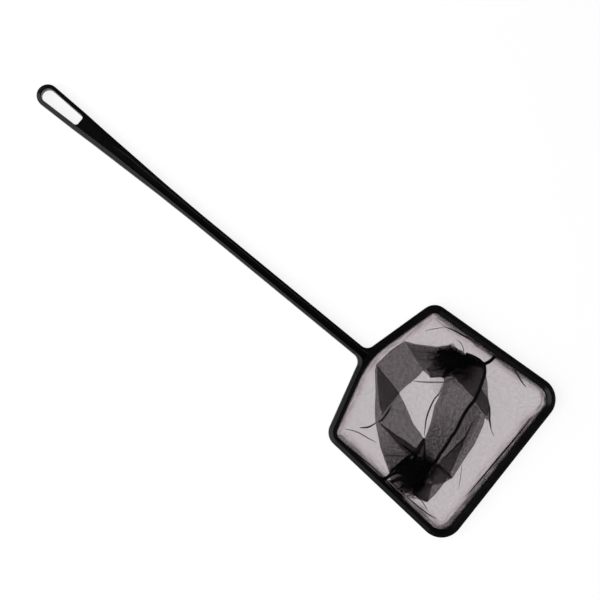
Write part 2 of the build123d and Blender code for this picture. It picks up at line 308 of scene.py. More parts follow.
WALL_CREASES = [
    ([(131.0, 55.0), (138.0, 55.8), (146.0, 56.2), (152.0, 56.4)], 1.9, 1),
    ([(111.3, -28.3), (110.2, -31.6), (108.6, -34.8), (104.6, -38.6)], 0.9, 2),
    ([(97.4, -45.3), (101.4, -43.1), (106.5, -41.2), (113.7, -40.0), (120.2, -38.7)], 0.6, 1),
    ([(102.5, -52.5), (113.4, -52.6), (123.2, -52.7), (136.0, -52.8)], 0.7, 2),
    ([(155.4, -53.5), (168.4, -53.6), (174.9, -53.4), (181.4, -52.1)], 0.7, 2),
    ([(158.8, -49.4), (165.3, -49.4), (172.4, -51.5)], 0.6, 1),
    ([(162.0, 26.1), (164.6, 23.5), (167.1, 20.1), (169.6, 17.6), (172.9, 14.8)], 0.9, 2),
    ([(171.5, 15.5), (174.2, 14.2), (176.7, 12.9)], 0.4, 1),
    ([(98.2, 37.8), (100.8, 41.0), (104.2, 45.0), (106.9, 48.3)], 0.4, 1),
    ([(105.4, 47.5), (112.2, 49.9), (118.8, 51.2), (125.3, 52.7), (132.9, 53.2)], 0.8, 2),
    ([(159.4, 55.4), (164.6, 53.8), (168.6, 52.4), (173.2, 51.4)], 0.7, 2),
    ([(188.4, 38.8), (188.1, 18.5), (187.6, 3.4), (187.2, -11.6), (186.6, -29.6)], 0.9, 2),
    ([(171.4, -14.5), (175.7, -21.0), (180.1, -28.9)], 0.35, 1),
]

# Gathers at the two lower corners of the bag. First the core: its height, pleats, outline and cover. The edge
# seed keeps its ragged edge the same in every run.
GATHER_HEIGHT = 1.9
GATHER_SPACING = 0.7
GATHER_PLEATS = 13
PLEAT_DEPTH = 0.4
PLEAT_WANDER = 6.0
PLEAT_WANDER_LENGTH = 5.0
CORE_SHARE = 0.86
CORE_RAGGED = 0.6
CORE_EDGE_SEED = 1795815237
CORE_LIFT = 0.45
CORE_SAG = 0.05
CORE_TURN = 0.2
CORE_CLOSE = 0.5
CORE_COVER = 1.2

# The looser cloth round the core: layers, lifts, fullness, ragged edges and streaks
GATHER_LAYERS = 4
GATHER_ANGLES = 110
CORE_FULL = 0.9
LOOSE_COVER = 0.62
LOOSE_LIFT = 0.12
LOOSE_LAYER = 0.06
LOOSE_PUFF = 0.25
LOOSE_PUFF_RUN = 6.0
LOOSE_WAVE_LENGTH = 4.0
LEAST_FADE = 0.5
LEAST_REACH = 1.0
REACH_SLACK = 1e-6
GATHER_RAGGED = 1.0
COARSE_RAGS = 3
FINE_RAGS = 9
FINE_RAG_SHARE = 0.7
RAG_SEED_STEP = 7
STREAK_REACH = 9.0
STREAK_STRETCH = 0.45

# Rolled strands and loose threads: sides, flatness, taper and lumps
ROLL_STEP = 0.5
ROLL_SIDES = 8
ROLL_FLATNESS = 0.45
ROLL_END = 0.3
ROLL_LUMPS = 0.3
LUMP_LENGTH = 1.6
STRAND_LIFT = 0.3
LOOSE_THREAD = 0.24
LOOSE_THREAD_LIFT = 0.2

# Each gather: the outline of its core, the edge of its looser cloth, its strands with radii, and its threads
LEFT_GATHER_SEED = 31
LEFT_GATHER_CENTRE = (126.0, 35.7)
LEFT_CORE = [
    (112.2, 33.4), (113.4, 35.6), (116.1, 37.6), (117.5, 39.8), (119.8, 40.3), (123.5, 40.9),
    (127.1, 41.6), (131.9, 43.0), (136.2, 44.0), (140.7, 44.7), (137.6, 42.3), (135.2, 40.2),
    (134.2, 38.0), (133.7, 35.6), (132.1, 32.3), (129.5, 30.2), (126.4, 28.4), (123.0, 27.6),
    (120.0, 27.4), (117.0, 28.0), (114.0, 30.2),
]
LEFT_LOOSE = [
    (107.5, 29.5), (111.9, 36.3), (116.0, 41.7), (119.2, 42.7), (122.5, 42.5), (128.4, 43.5),
    (133.0, 44.5), (138.8, 45.4), (143.6, 44.2), (147.5, 37.5), (150.5, 28.0), (143.0, 23.0),
    (134.5, 21.5), (126.5, 20.5), (117.0, 19.8), (107.0, 23.0),
]
LEFT_STRANDS = [
    ([
        (113.1, 33.2), (117.4, 35.8), (122.7, 37.6), (128.0, 40.5), (133.9, 42.6), (139.7, 43.9),
        (143.1, 43.4),
    ], 1.0),
    ([(115.2, 30.2), (118.1, 32.8), (123.8, 35.2), (129.1, 39.1), (134.6, 41.7), (139.2, 43.5)], 0.8),
]
LEFT_LOOSE_THREADS = [
    [(117.6, 46.1), (121.3, 46.3), (124.0, 45.0), (126.4, 43.2), (124.9, 42.5), (123.6, 42.9)],
    [(115.3, 37.9), (116.5, 40.8), (117.9, 42.6), (119.7, 41.9), (122.2, 41.5)],
]
RIGHT_GATHER_SEED = 41
RIGHT_GATHER_CENTRE = (151.0, -37.3)
RIGHT_CORE = [
    (141.0, -35.0), (145.8, -29.3), (149.6, -25.8), (154.2, -25.3), (157.9, -24.0), (158.4, -28.8),
    (159.5, -34.0), (159.3, -38.1), (158.8, -42.0), (157.8, -45.5), (155.2, -48.5), (151.7, -49.5),
    (147.5, -48.5), (144.0, -46.0), (140.5, -44.0), (139.8, -40.5),
]
RIGHT_LOOSE = [
    (144.4, -22.7), (152.1, -22.3), (158.2, -22.6), (163.1, -23.4), (165.7, -28.4), (163.3, -32.4),
    (162.8, -37.4), (163.0, -42.3), (163.5, -48.0), (161.5, -52.5), (157.5, -54.0), (150.0, -54.3),
    (143.5, -53.5), (138.5, -50.5), (138.0, -44.0), (138.5, -38.0), (139.5, -32.1),
]
RIGHT_STRANDS = [
    ([(139.5, -52.1), (140.1, -48.2), (140.8, -43.9), (141.6, -39.1), (142.6, -34.6), (147.5, -30.2)], 0.75),
    ([(139.8, -50.1), (141.9, -45.8), (145.5, -39.9), (150.9, -36.7)], 0.6),
    ([(156.6, -18.3), (156.7, -21.9), (155.9, -26.7), (153.4, -32.8)], 1.0),
    ([(143.3, -18.9), (146.3, -22.9), (149.8, -26.8), (150.6, -31.3)], 0.5),
    ([(140.3, -52.5), (143.8, -52.9), (148.9, -53.4), (152.7, -53.2)], 0.45),
    ([(131.2, -29.8), (137.2, -29.4), (143.1, -29.8), (148.1, -31.8)], 0.55),
]

# Seams: the rolled edge, how many points of each side seam lie between the hem and the bottom seam, and the
# thread looped over the edge
SEAM_WIDTH = 2.1
SEAM_HEIGHT = 0.9
SEAM_LIFT = 0.35
BOTTOM_SEAM_LIFT = 0.55
SEAM_HEM_INSET = 4.6
SEAM_STEP = 0.6
SEAM_SIDES = 10
LEFT_SEAM_END_POINTS = 6
RIGHT_SEAM_END_POINTS = 8
STITCH_PITCH = 0.9
STITCH_THREAD = 0.11
THREAD_SIDES = 5
LOOP_SIDES = 12
LOOP_WIDTH_SHARE = 1.12
LOOP_HEIGHT_SHARE = 1.15
LOOP_TILT_LEAST = (0.25, -0.1, -0.1)
LOOP_TILT_MOST = (0.55, 0.1, 0.1)
LOOP_TILT_SEED = 5

# Hem: its layers, how far each shows inside the rim, how that show waves, and how much each covers
HEM_STEP = 0.8
HEM_ROWS = 9
HEM_LAYER = 0.13
HEM_SOFT_START = 0.35
HEM_STREAK = 7.0
HEM_SHOW = 0.7
HEM_SHOW_TIP = 2.7
HEM_SHOW_SIDES = 1.8
TURNED_WAVES = 0.25
TURNED_WAVE_SEED = 2.5
TURNED_RIPPLE = 0.2
TURNED_RIPPLE_LENGTH = RIPPLE_LENGTH / 3
TURNED_RIPPLE_SEED = 3.5
# Painted shadow of the rim: a thin sheet of bunched net past the turned edge, darker at the tip's left corner
RIM_SHADOW_SHOW = 5.0
RIM_SHADOW_WAVES = 0.3
RIM_SHADOW_WAVE_LENGTH = RIPPLE_LENGTH / 1.2
RIM_SHADOW_WAVE_SEED = 9.5
RIM_SHADOW_COVER = 0.32
CORNER_SHADOW_COVER = 0.35
BUNCH_SHOW = 3.6
BUNCH_WAVES = 0.3
BUNCH_WAVE_LENGTH = RIPPLE_LENGTH / 1.5
BUNCH_WAVE_SEED = 5.5
BUNCH_COVER = 0.93
TIP_BUNCH_COVER = 0.4

# Where along the rim the hem widens, fills out or bunches, and the run over which it does so
TIP_HEM_X = 186.0
TIP_HEM_RUN = 5.0
TIP_HEM_LEFT = 48.0
TIP_HEM_FADE = 12.0
SIDE_HEM_X = RIM_SHOULDER_X + 2.0
SIDE_HEM_RUN = 8.0
SIDE_HEM_SPREAD = 30.0
LEFT_HEM_END = 184.0
LEFT_HEM_FADE = 14.0
CORNER_X = 178.0
CORNER_X_RUN = 8.0
CORNER_Y = 38.0
CORNER_Y_RUN = 10.0
LEFT_BUNCH = (112.0, 134.0, 150.0, 168.0)
RIGHT_BUNCH = (128.0, 139.0, 150.0, 162.0)

# Running stitch along the hem
HEM_STITCH_INSET = 6.0
HEM_STITCH_STEP = 1.0
HEM_STITCH_PITCH = 2.2
HEM_STITCH_LENGTH = 1.5
STITCH_SEGMENTS = 8
STITCH_RINGS = 6

# Black plastic: grain per metre, colours, roughness, gloss, and the relief's strength and depth in metres
SPECKLE_SPAN = (0.3, 0.7)
PLASTIC_MOTTLE = {"Scale": 90.0, "Detail": 4.0}
PLASTIC_GRAIN = {"Scale": 2600.0, "Detail": 2.0}
PLASTIC_FLOW = {"Scale": 420.0, "Detail": 3.0}
PLASTIC_DARK = (0.0012, 0.0012, 0.0013)
PLASTIC_LIGHT = (0.0030, 0.0029, 0.0030)
PLASTIC_ROUGHNESS = (0.25, 0.36)
PLASTIC_GLOSS = 0.1
PLASTIC_RELIEF = (0.12, 0.00004)

# Net: pitch and thickness of its threads, grain per millimetre of flat cloth, how much its threads and gaps
# cover, and the tint of the light that comes through
NET_PITCH = 0.52
NET_WANDER = 0.22
NET_DRIFT = {"Scale": 0.35, "Detail": 2.0}
NET_FIBRE = {"Scale": 3.0, "Detail": 2.0}
NET_FUZZ = {"Scale": 0.5, "Detail": 4.0, "Roughness": 0.75}
NET_DARK = (0.0045, 0.0036, 0.0038)
NET_LIGHT = (0.0120, 0.0095, 0.0100)
NET_ROUGHNESS = 0.7
NET_GLOSS = 0.1
THREAD_EDGE = 0.4
THREAD_COVER = 0.72
TAUT_THREAD = 0.117
TAUT_GAP_COVER = 0.285
TAUT_UNEVEN = 0.26
TAUT_TINT = (1.0, 0.925, 0.945)
SLACK_THREAD = 0.150
SLACK_GAP_COVER = 0.325
SLACK_UNEVEN = 0.75
SLACK_TINT = (1.0, 0.978, 0.984)

# Bunched net: the same, with streaks
BUNCH_GRAIN = {"Scale": 0.7, "Detail": 3.0, "Roughness": 0.6}
BUNCH_STREAKS = 0.55
STREAK_SPAN = (0.35, 0.65)
BUNCH_DARK = (0.0005, 0.0004, 0.0004)
BUNCH_LIGHT = (0.0022, 0.0018, 0.0019)
BUNCH_ROUGHNESS = 0.85
BUNCH_GLOSS = 0.03
BUNCH_RELIEF = (0.4, 0.0001)

# Seam thread
THREAD_TWIST = {"Scale": 5200.0, "Detail": 2.0}
THREAD_DARK = (0.0010, 0.0009, 0.0009)
THREAD_LIGHT = (0.0035, 0.0031, 0.0031)
THREAD_ROUGHNESS = 0.8
THREAD_GLOSS = 0.06
THREAD_RELIEF = (0.3, 0.00005)

# Floor, light and camera, in metres, watts and degrees. The width in view, the aim and the sensor are in
# millimetres.
FLOOR_COLOUR = 0.18
FLOOR_GLOW = 0.85
FLOOR_SIZE = 60.0
FLOOR_DROP = 0.0002
WORLD_LIGHT = 0.15
KEY_POWER = 32.0
KEY_SIZE = (2.0, 1.2)
KEY_DISTANCE = 1.3
KEY_ELEVATION = 26.0
KEY_AZIMUTH = -16.0
FILL_POWER = 12.0
FILL_SIZE = 2.0
FILL_HEIGHT = 2.0
VIEW_WIDTH = 390.2
SENSOR_WIDTH = 36.0
CAMERA_DISTANCE = 0.9
CAMERA_AIM = (22.31, 1.22, 4.0)
CAMERA_ROLL = 39.26
CAMERA_LEAN = (-0.18, -5.26)


# Plan lines

def rounded_outline(corners, inset):
    """Closed line through rounded corners, drawn in by inset, anticlockwise. The first keeps its radius."""
    count = len(corners)
    places = [np.array(place, float) for place, radius in corners]
    sides = []
    for i in range(count):
        run = places[(i + 1) % count] - places[i]
        run /= np.linalg.norm(run)
        inward = np.array([-run[1], run[0]])
        sides.append((places[i] + inset * inward, run))
    line = []
    for i in range(count):
        start, before = sides[i - 1]
        end, after = sides[i]
        reach = np.linalg.solve(np.column_stack([before, -after]), end - start)[0]
        corner = start + reach * before
        radius = corners[i][1] - (0 if i == 0 else inset)
        turn = math.acos(np.clip(before @ after, -1, 1))
        back = radius * math.tan(turn / 2)
        centre = corner - back * before + radius * np.array([-before[1], before[0]])
        first = math.atan2(-before[0], before[1])
        for step in range(CORNER_STEPS + 1):
            angle = first + turn * step / CORNER_STEPS
            line.append(centre + radius * np.array([math.cos(angle), math.sin(angle)]))
    return np.array(line)


def divided(points, spacing):
    """Open line with points added along its straight runs, its corners kept."""
    points = np.array(points, float)
    line = [points[0]]
    for a, b in zip(points[:-1], points[1:]):
        parts = max(1, round(np.linalg.norm(b - a) / spacing))
        line += [a + (b - a) * k / parts for k in range(1, parts + 1)]
    return np.array(line)


def smooth_line(points, spacing):
    """Open line that curves through its points."""
    points = np.array(points, float)
    ends = np.vstack([2 * points[0] - points[1], points, 2 * points[-1] - points[-2]])
    line = [points[0]]
    for i in range(1, len(ends) - 2):
        a, b, c, d = ends[i - 1 : i + 3]
        parts = max(2, round(np.linalg.norm(c - b) / spacing))
        for k in range(1, parts + 1):
            t = k / parts
            slope = (c - a) * t
            bend = (2 * a - 5 * b + 4 * c - d) * t**2
            sway = (3 * b - a - 3 * c + d) * t**3
            line.append((2 * b + slope + bend + sway) / 2)
    return np.array(line)


def sideways(line):
    """Unit directions to the left of an open line, one at each of its points."""
    run = np.gradient(line, axis=0)
    run /= np.linalg.norm(run, axis=1)[:, None]
    return np.column_stack([-run[:, 1], run[:, 0]])


def distance_to(points, line):
    """Distance in plan from each point to an open line."""
    start, run = line[:-1], line[1:] - line[:-1]
    length = np.maximum((run**2).sum(1), TINY)
    share = np.clip(((points[:, None] - start) * run).sum(2) / length, 0, 1)
    gap = points[:, None] - start - share[..., None] * run
    return np.sqrt((gap**2).sum(2)).min(1)


def inside(points, outline):
    """Which points lie inside a closed line."""
    a, b = outline, np.roll(outline, -1, axis=0)
    x, y = points[:, 0][:, None], points[:, 1][:, None]
    spans = (a[:, 1] > y) != (b[:, 1] > y)
    rise = np.where(b[:, 1] == a[:, 1], TINY, b[:, 1] - a[:, 1])
    crossing = a[:, 0] + (y - a[:, 1]) * (b[:, 0] - a[:, 0]) / rise
    return (spans & (x < crossing)).sum(1) % 2 == 1


def closed(line):
    """A line with its first point again at its end."""
    return np.vstack([line, line[:1]])


def nearest(line, place):
    """The point of a line nearest to a place, counted along x and then along y."""
    return line[np.abs(line - np.array(place)).sum(1).argmin()]


def between(line, first, last):
    """Part of a closed line, anticlockwise from the point nearest to first to the one nearest to last."""
    i = np.linalg.norm(line - np.array(first), axis=1).argmin()
    j = np.linalg.norm(line - np.array(last), axis=1).argmin()
    return line[i : j + 1] if i <= j else np.vstack([line[i:], line[: j + 1]])


def joined(*lines):
    """Closed outline from lines laid end to end, without the doubled ends."""
    return np.vstack([line[:-1] for line in lines])


def smoothstep(share):
    """A share eased at both ends."""
    share = np.clip(share, 0, 1)
    return share * share * (3 - 2 * share)


def inverse_smoothstep(share):
    """The share that smoothstep eases to this one."""
    return 0.5 - np.sin(np.arcsin(1 - 2 * np.clip(share, 0, 1)) / 3)


def ripple(points, seed, length=RIPPLE_LENGTH):
    """Gentle unevenness of the cloth, from -1 to 1, with waves of about this length."""
    return np.array([noise.noise((x / length, y / length, seed)) for x, y in points])


# Cloth

def placed(name, data):
    """A new object in the scene, at the origin."""
    piece = bpy.data.objects.new(name, data)
    bpy.context.scene.collection.objects.link(piece)
    return piece


def fill(outline, spacing, seed):
    """Triangles that fill a closed outline in plan, with evenly scattered points inside."""
    chance = random.Random(seed)
    low, high = outline.min(0), outline.max(0)
    row_height = spacing * math.sqrt(3) / 2
    scatter = []
    for row in range(int((high[1] - low[1]) / row_height) + 1):
        for column in range(int((high[0] - low[0]) / spacing) + 2):
            x = low[0] + (column + row % 2 / 2 + chance.uniform(-SCATTER, SCATTER)) * spacing
            y = low[1] + (row + chance.uniform(-SCATTER, SCATTER)) * row_height
            scatter.append((x, y))
    scatter = np.array(scatter)
    scatter = scatter[inside(scatter, outline)]
    scatter = scatter[distance_to(scatter, closed(outline)) > EDGE_CLEARANCE * spacing]
    count = len(outline)
    places = [Vector(p) for p in np.vstack([outline, scatter])]
    edges = [(i, (i + 1) % count) for i in range(count)]
    points, _, faces, *_ = delaunay_2d_cdt(places, edges, [], FILL_INSIDE, FILL_TOLERANCE)
    return np.array([tuple(p) for p in points]), [list(f) for f in faces]


def strip_faces(rows, columns, ring=False):
    """Faces between rows of points, and from the last row back to the first where they make a ring."""
    faces = []
    for row in range(rows if ring else rows - 1):
        near = row * columns
        far = (row + 1) % rows * columns
        for i in range(columns - 1):
            faces.append([near + i, near + i + 1, far + i + 1, far + i])
    return faces


class Cloth:
    """Sheets of cloth gathered into one mesh. Its map holds each sheet's own flat place in millimetres."""

    def __init__(self):
        self.points = []
        self.faces = []
        self.places = []
        self.finishes = []
        self.bunching = []

    def lay(self, points, faces, heights, finish, turn=0.0, over=False, flat=None, bunching=1.0):
        """Adds a sheet, its weave turned, in one finish or one for each face, face down where folded over."""
        first = len(self.points)
        self.points += [(x, y, z) for (x, y), z in zip(points, heights)]
        self.bunching += list(np.broadcast_to(bunching, len(points)))
        if flat is None:
            flat = points @ np.array([[math.cos(turn), math.sin(turn)], [-math.sin(turn), math.cos(turn)]])
        for face in faces:
            order = face[::-1] if over else face
            self.faces.append([first + i for i in order])
            self.places.append([flat[i] for i in order])
        self.finishes += finish if isinstance(finish, list) else [finish] * len(faces)

    def piece(self, name):
        """The finished piece, in metres, with the sheets welded where they meet."""
        mesh = bpy.data.meshes.new(name)
        mesh.from_pydata([Vector(p) * MM for p in self.points], [], self.faces)
        weave = mesh.uv_layers.new(name="Weave")
        flat = [place for places in self.places for place in places]
        weave.data.foreach_set("uv", np.array(flat, np.float32).ravel())
        mesh.attributes.new("Bunching", "FLOAT", "POINT").data.foreach_set("value", self.bunching)
        finishes = list(dict.fromkeys(self.finishes))
        for finish in finishes:
            mesh.materials.append(finish)
        mesh.polygons.foreach_set("material_index", [finishes.index(finish) for finish in self.finishes])
        piece = placed(name, mesh)
        weld(mesh)
        return piece


def weld(mesh):
    """Joins the corners that meet at a fold."""
    work = bmesh.new()
    work.from_mesh(mesh)
    bmesh.ops.remove_doubles(work, verts=work.verts, dist=WELD_REACH)
    work.to_mesh(mesh)
    work.free()
    mesh.polygons.foreach_set("use_smooth", [True] * len(mesh.polygons))
    mesh.update()


# Heights of the folded bag

def wall_height(share):
    """Height of the folded wall where it follows the bag's bottom by this share."""
    return HEM_HEIGHT + inverse_smoothstep(share) * (BOTTOM_HEIGHT - HEM_HEIGHT)


def drawn_out(heights):
    """Heights of the folded cloth once the bag's bottom is drawn out."""
    return heights + BAG_DRAW * smoothstep((heights - HEM_HEIGHT) / (BOTTOM_HEIGHT - HEM_HEIGHT))


def laid_flat(heights):
    """Heights of drawn-out cloth once it is folded flat again."""
    folded = np.linspace(0, 2 * BOTTOM_HEIGHT, FOLD_STEPS)
    return np.interp(heights, drawn_out(folded), folded)


clamp_line = divided(closed(rounded_outline(RIM_CORNERS, CLAMP_INSET)), CLOTH_SPACING)[:-1]
hem_line = rounded_outline(RIM_CORNERS, HEM_INSET)
window_handle_side = divided(WINDOW_HANDLE_SIDE, CLOTH_SPACING)
window_tip_side = divided(WINDOW_TIP_SIDE, CLOTH_SPACING)
outside_handle_side = divided(OUTSIDE_HANDLE_SIDE, CLOTH_SPACING)
outside_tip_side = divided(OUTSIDE_TIP_SIDE, CLOTH_SPACING)
window_line = np.vstack([window_handle_side, window_tip_side])
outside_line = np.vstack([outside_handle_side, outside_tip_side])


def rippled_wall(share, from_start, from_end, ripples):
    """Height of a wall layer whose ripples fade out at its two folds."""
    fade = np.clip(from_start / RIPPLE_FADE, 0, 1) * np.clip(from_end / RIPPLE_FADE, 0, 1)
    return wall_height(share + RIPPLE_SHARE * fade * ripples)


def lower_wall_height(points):
    """The wall's first layer: flat in the clamp, then up to the window fold."""
    from_hem = np.where(inside(points, hem_line), distance_to(points, closed(hem_line)), 0)
    from_window = distance_to(points, window_line)
    share = FOLD_SHARE * from_hem / (from_hem + from_window)
    return rippled_wall(share, from_hem, from_window, ripple(points, LOWER_RIPPLE_SEED))


def upper_wall_height(points):
    """The wall's second layer: from the window fold back out to the outside fold."""
    from_window = distance_to(points, window_line)
    from_outside = distance_to(points, outside_line)
    share = FOLD_SHARE + (1 - FOLD_SHARE) * from_window / np.maximum(from_window + from_outside, TINY)
    return rippled_wall(share, from_window, from_outside, ripple(points, UPPER_RIPPLE_SEED))


def floor_height(points):
    """The bag's bottom, which lies over the folded wall."""
    crown = smoothstep(distance_to(points, outside_line) / FLOOR_CROWN_RUN)
    return BOTTOM_HEIGHT + FLOOR_CROWN * crown * (1 + FLOOR_RIPPLE * ripple(points, FLOOR_RIPPLE_SEED))


# Net panels

def add_tuck(cloth, layers, outline, turn, seed):
    """A flap that lies on the bag's bottom, its layers together along its edge."""
    line = divided(closed(np.array(outline)), TUCK_SPACING)[:-1]
    points, faces = fill(line, TUCK_SPACING, seed)
    loose = smoothstep(distance_to(points, closed(line)) / TUCK_LOOSE_RUN)
    for layer in range(layers):
        lift = TUCK_LIFT + TUCK_LAYER * layer
        puff = TUCK_PUFF + TUCK_LAYER_PUFF * layer
        heights = floor_height(points) + lift + puff * loose
        cloth.lay(points, faces, heights, slack_net, turn + TUCK_LAYER_TURN * layer, over=layer % 2 == 0)


def add_thinning_layer(cloth, outline, thin_end, full_end, cover):
    """Slack cloth or painted shade on the bag's bottom, closing up along a line from nothing to its full
    cover.
    """
    line = divided(closed(np.array(outline)), TUCK_SPACING)[:-1]
    points, faces = fill(line, TUCK_SPACING, SLACK_SEED)
    run = np.array(full_end) - np.array(thin_end)
    share = np.clip((points - np.array(thin_end)) @ run / (run @ run), 0, 1)
    cloth.lay(points, faces, floor_height(points) + SLACK_LIFT, bunched, SLACK_TURN, bunching=cover * share)


def add_crease(cloth, path, width, doublings, height, rise, turn):
    """A narrow pleat: the cloth doubled along a line that fades out at both ends."""
    line = smooth_line(path, CREASE_STEP)
    across = sideways(line)
    share = np.linspace(0, 1, len(line))
    half = width / 2 * np.maximum(np.sqrt(np.sin(math.pi * share)), CREASE_END)
    steps = np.linspace(-1, 1, CREASE_ROWS)
    ridge = np.repeat(1 - steps**2, len(line))
    faces = strip_faces(CREASE_ROWS, len(line))
    layers = 2 * doublings
    for layer in range(layers):
        reach = CREASE_SPREAD * half * (1 - CREASE_TAPER * layer / layers)
        points = np.vstack([line + across * (reach * step)[:, None] for step in steps])
        lift = rise * (CREASE_LIFT + CREASE_LAYER * layer + CREASE_RIDGE * ridge)
        heights = laid_flat(drawn_out(height(points)) + lift)
        cloth.lay(points, faces, heights, slack_net, turn + CREASE_LAYER_TURN * layer, over=layer % 2 == 1)


def net_panel(name, handle_side):
    """One sewn panel of the bag: wall in to the window fold, wall back out, and its share of the bottom."""
    cloth = Cloth()
    if handle_side:
        hem, window, outside, bottom = hem_handle_side, window_handle_side, outside_handle_side, bottom_seam
        first_in, last_in = left_seam_in, right_seam_in
        first_out, last_out = left_seam_out, right_seam_out
        tucks, thinning_layers = TUCKS_HANDLE_SIDE, SLACK_AND_SHADE_HANDLE_SIDE
    else:
        hem, window, outside, bottom = hem_tip_side, window_tip_side, outside_tip_side, bottom_seam[::-1]
        first_in, last_in = right_seam_in, left_seam_in
        first_out, last_out = right_seam_out, left_seam_out
        tucks, thinning_layers = TUCKS_TIP_SIDE, SLACK_TIP_SIDE
    lower = joined(hem, last_in, window[::-1], first_in[::-1])
    upper = joined(window, last_out, outside[::-1], first_out[::-1])
    floor = joined(outside, bottom[::-1])
    points, faces = fill(lower, CLOTH_SPACING, LOWER_WALL_SEED)
    cloth.lay(points, faces, lower_wall_height(points), taut_net, LOWER_WALL_TURN)
    points, faces = fill(upper, CLOTH_SPACING, UPPER_WALL_SEED)
    cloth.lay(points, faces, upper_wall_height(points), slack_net, UPPER_WALL_TURN, over=True)
    points, faces = fill(floor, CLOTH_SPACING, FLOOR_SEED)
    middles = np.array([points[face].mean(0) for face in faces])
    finishes = [taut_net if in_window else slack_net for in_window in inside(middles, window_line)]
    cloth.lay(points, faces, floor_height(points), finishes, FLOOR_TURN)
    for number, (layers, outline) in enumerate(tucks):
        add_tuck(cloth, layers, outline, TUCK_TURN + TUCK_TURN_STEP * number, TUCK_SEED + number)
    for thinning_layer in thinning_layers:
        add_thinning_layer(cloth, *thinning_layer)
    for creases, height, rise in (
        (FLOOR_CREASES, floor_height, FLOOR_CREASE_RISE),
        (WALL_CREASES, lower_wall_height, WALL_CREASE_RISE),
    ):
        for number, (path, width, doublings) in enumerate(creases):
            middle = np.array([path[len(path) // 2]])
            if inside(middle, handle_area)[0] == handle_side:
                add_crease(cloth, path, width, doublings, height, rise, CREASE_TURN_STEP * number)
    return cloth.piece(name)


# Gathers

def reach_of(outline, centre, angles):
    """How far an outline lies from a centre in each direction."""
    start = np.array(outline, float) - centre
    run = np.roll(start, -1, axis=0) - start
    reaches = []
    for angle in angles:
        aim = np.array([math.cos(angle), math.sin(angle)])
        spread = aim[0] * run[:, 1] - aim[1] * run[:, 0]
        spread = np.where(np.abs(spread) < TINY, TINY, spread)
        far = (start[:, 0] * run[:, 1] - start[:, 1] * run[:, 0]) / spread
        share = (start[:, 0] * aim[1] - start[:, 1] * aim[0]) / spread
        met = (share >= -REACH_SLACK) & (share <= 1 + REACH_SLACK) & (far > 0)
        reaches.append(max(far[met]))
    return np.array(reaches)


def ragged(centre, reach, angles, seed):
    """A closed outline with an uneven edge."""
    ways = np.column_stack([np.cos(angles), np.sin(angles)])
    rags = ripple(COARSE_RAGS * ways, seed, 1) + FINE_RAG_SHARE * ripple(FINE_RAGS * ways, seed, 1)
    far = np.maximum(reach + GATHER_RAGGED * rags, LEAST_REACH)
    return centre + far[:, None] * ways


def add_roll(cloth, path, radius, lift, finish):
    """A rolled strand of cloth or thread that thins out at both ends."""
    line = smooth_line(path, ROLL_STEP)
    across = sideways(line)
    share = np.linspace(0, 1, len(line))
    taper = ROLL_END + (1 - ROLL_END) * np.sqrt(np.sin(math.pi * share))
    thick = radius * taper * (1 + ROLL_LUMPS * ripple(line, radius, LUMP_LENGTH))
    base = floor_height(line) + lift
    turns = np.linspace(0, 2 * math.pi, ROLL_SIDES, endpoint=False)
    points = np.vstack([line + across * (thick * math.cos(a))[:, None] for a in turns])
    heights = np.concatenate([base + ROLL_FLATNESS * thick * (1 + math.sin(a)) for a in turns])
    cloth.lay(points, strip_faces(ROLL_SIDES, len(line), ring=True), heights, finish)


def add_core(cloth, centre, core, seed):
    """The pleated middle of a gather: a low mound of cloth with its underside."""
    line = divided(closed(np.array(core)), GATHER_SPACING)[:-1]
    line = centre + CORE_SHARE * (line - centre)
    noise.seed_set(CORE_EDGE_SEED)
    line = line + CORE_RAGGED * np.array([noise.noise_vector((x, y, seed)).xy for x, y in line])
    points, faces = fill(line, GATHER_SPACING, seed)
    rise = distance_to(points, closed(line))
    rise = np.sqrt(np.clip(rise / rise.max(), 0, 1))
    angle = np.arctan2(points[:, 1] - centre[1], points[:, 0] - centre[0])
    wander = PLEAT_WANDER * ripple(points, seed, PLEAT_WANDER_LENGTH)
    pleats = (1 + np.sin(GATHER_PLEATS * angle + wander)) / 2
    base = floor_height(points) + CORE_LIFT
    top = base + GATHER_HEIGHT * rise * (1 - PLEAT_DEPTH + PLEAT_DEPTH * pleats)
    closing = CORE_COVER * np.clip(rise / CORE_CLOSE, 0, 1)
    cloth.lay(points, faces, top, bunched, CORE_TURN, bunching=closing)
    cloth.lay(points, faces, base - CORE_SAG * rise, bunched, CORE_TURN, over=True, bunching=closing)


def add_loose_layer(cloth, layer, centre, core_reach, reach, angles, seed):
    """Cloth that loosens round a gather's core, closed at the core and thin at its ragged edge."""
    line = ragged(centre, reach, angles, seed + RAG_SEED_STEP * layer)
    points, faces = fill(line, TUCK_SPACING, seed + 1 + layer)
    inner = smoothstep(distance_to(points, closed(line)) / LOOSE_PUFF_RUN)
    puff = LOOSE_PUFF * inner * (1 + ripple(points, seed + layer, LOOSE_WAVE_LENGTH))
    heights = floor_height(points) + LOOSE_LIFT + LOOSE_LAYER * (GATHER_LAYERS - layer) + puff
    from_centre = points - centre
    far = np.linalg.norm(from_centre, axis=1)
    angle = np.arctan2(from_centre[:, 1], from_centre[:, 0])
    bunched_reach = CORE_FULL * np.interp(angle, angles, core_reach, period=2 * math.pi)
    edge = np.interp(angle, angles, reach, period=2 * math.pi)
    thinning = np.clip((far - bunched_reach) / np.maximum(edge - bunched_reach, LEAST_FADE), 0, 1)
    ways = np.column_stack([np.cos(angle), np.sin(angle)])
    streaked = (STREAK_REACH + STREAK_STRETCH * far)[:, None] * ways
    cloth.lay(points, faces, heights, bunched, flat=streaked, bunching=LOOSE_COVER * (1 - thinning))


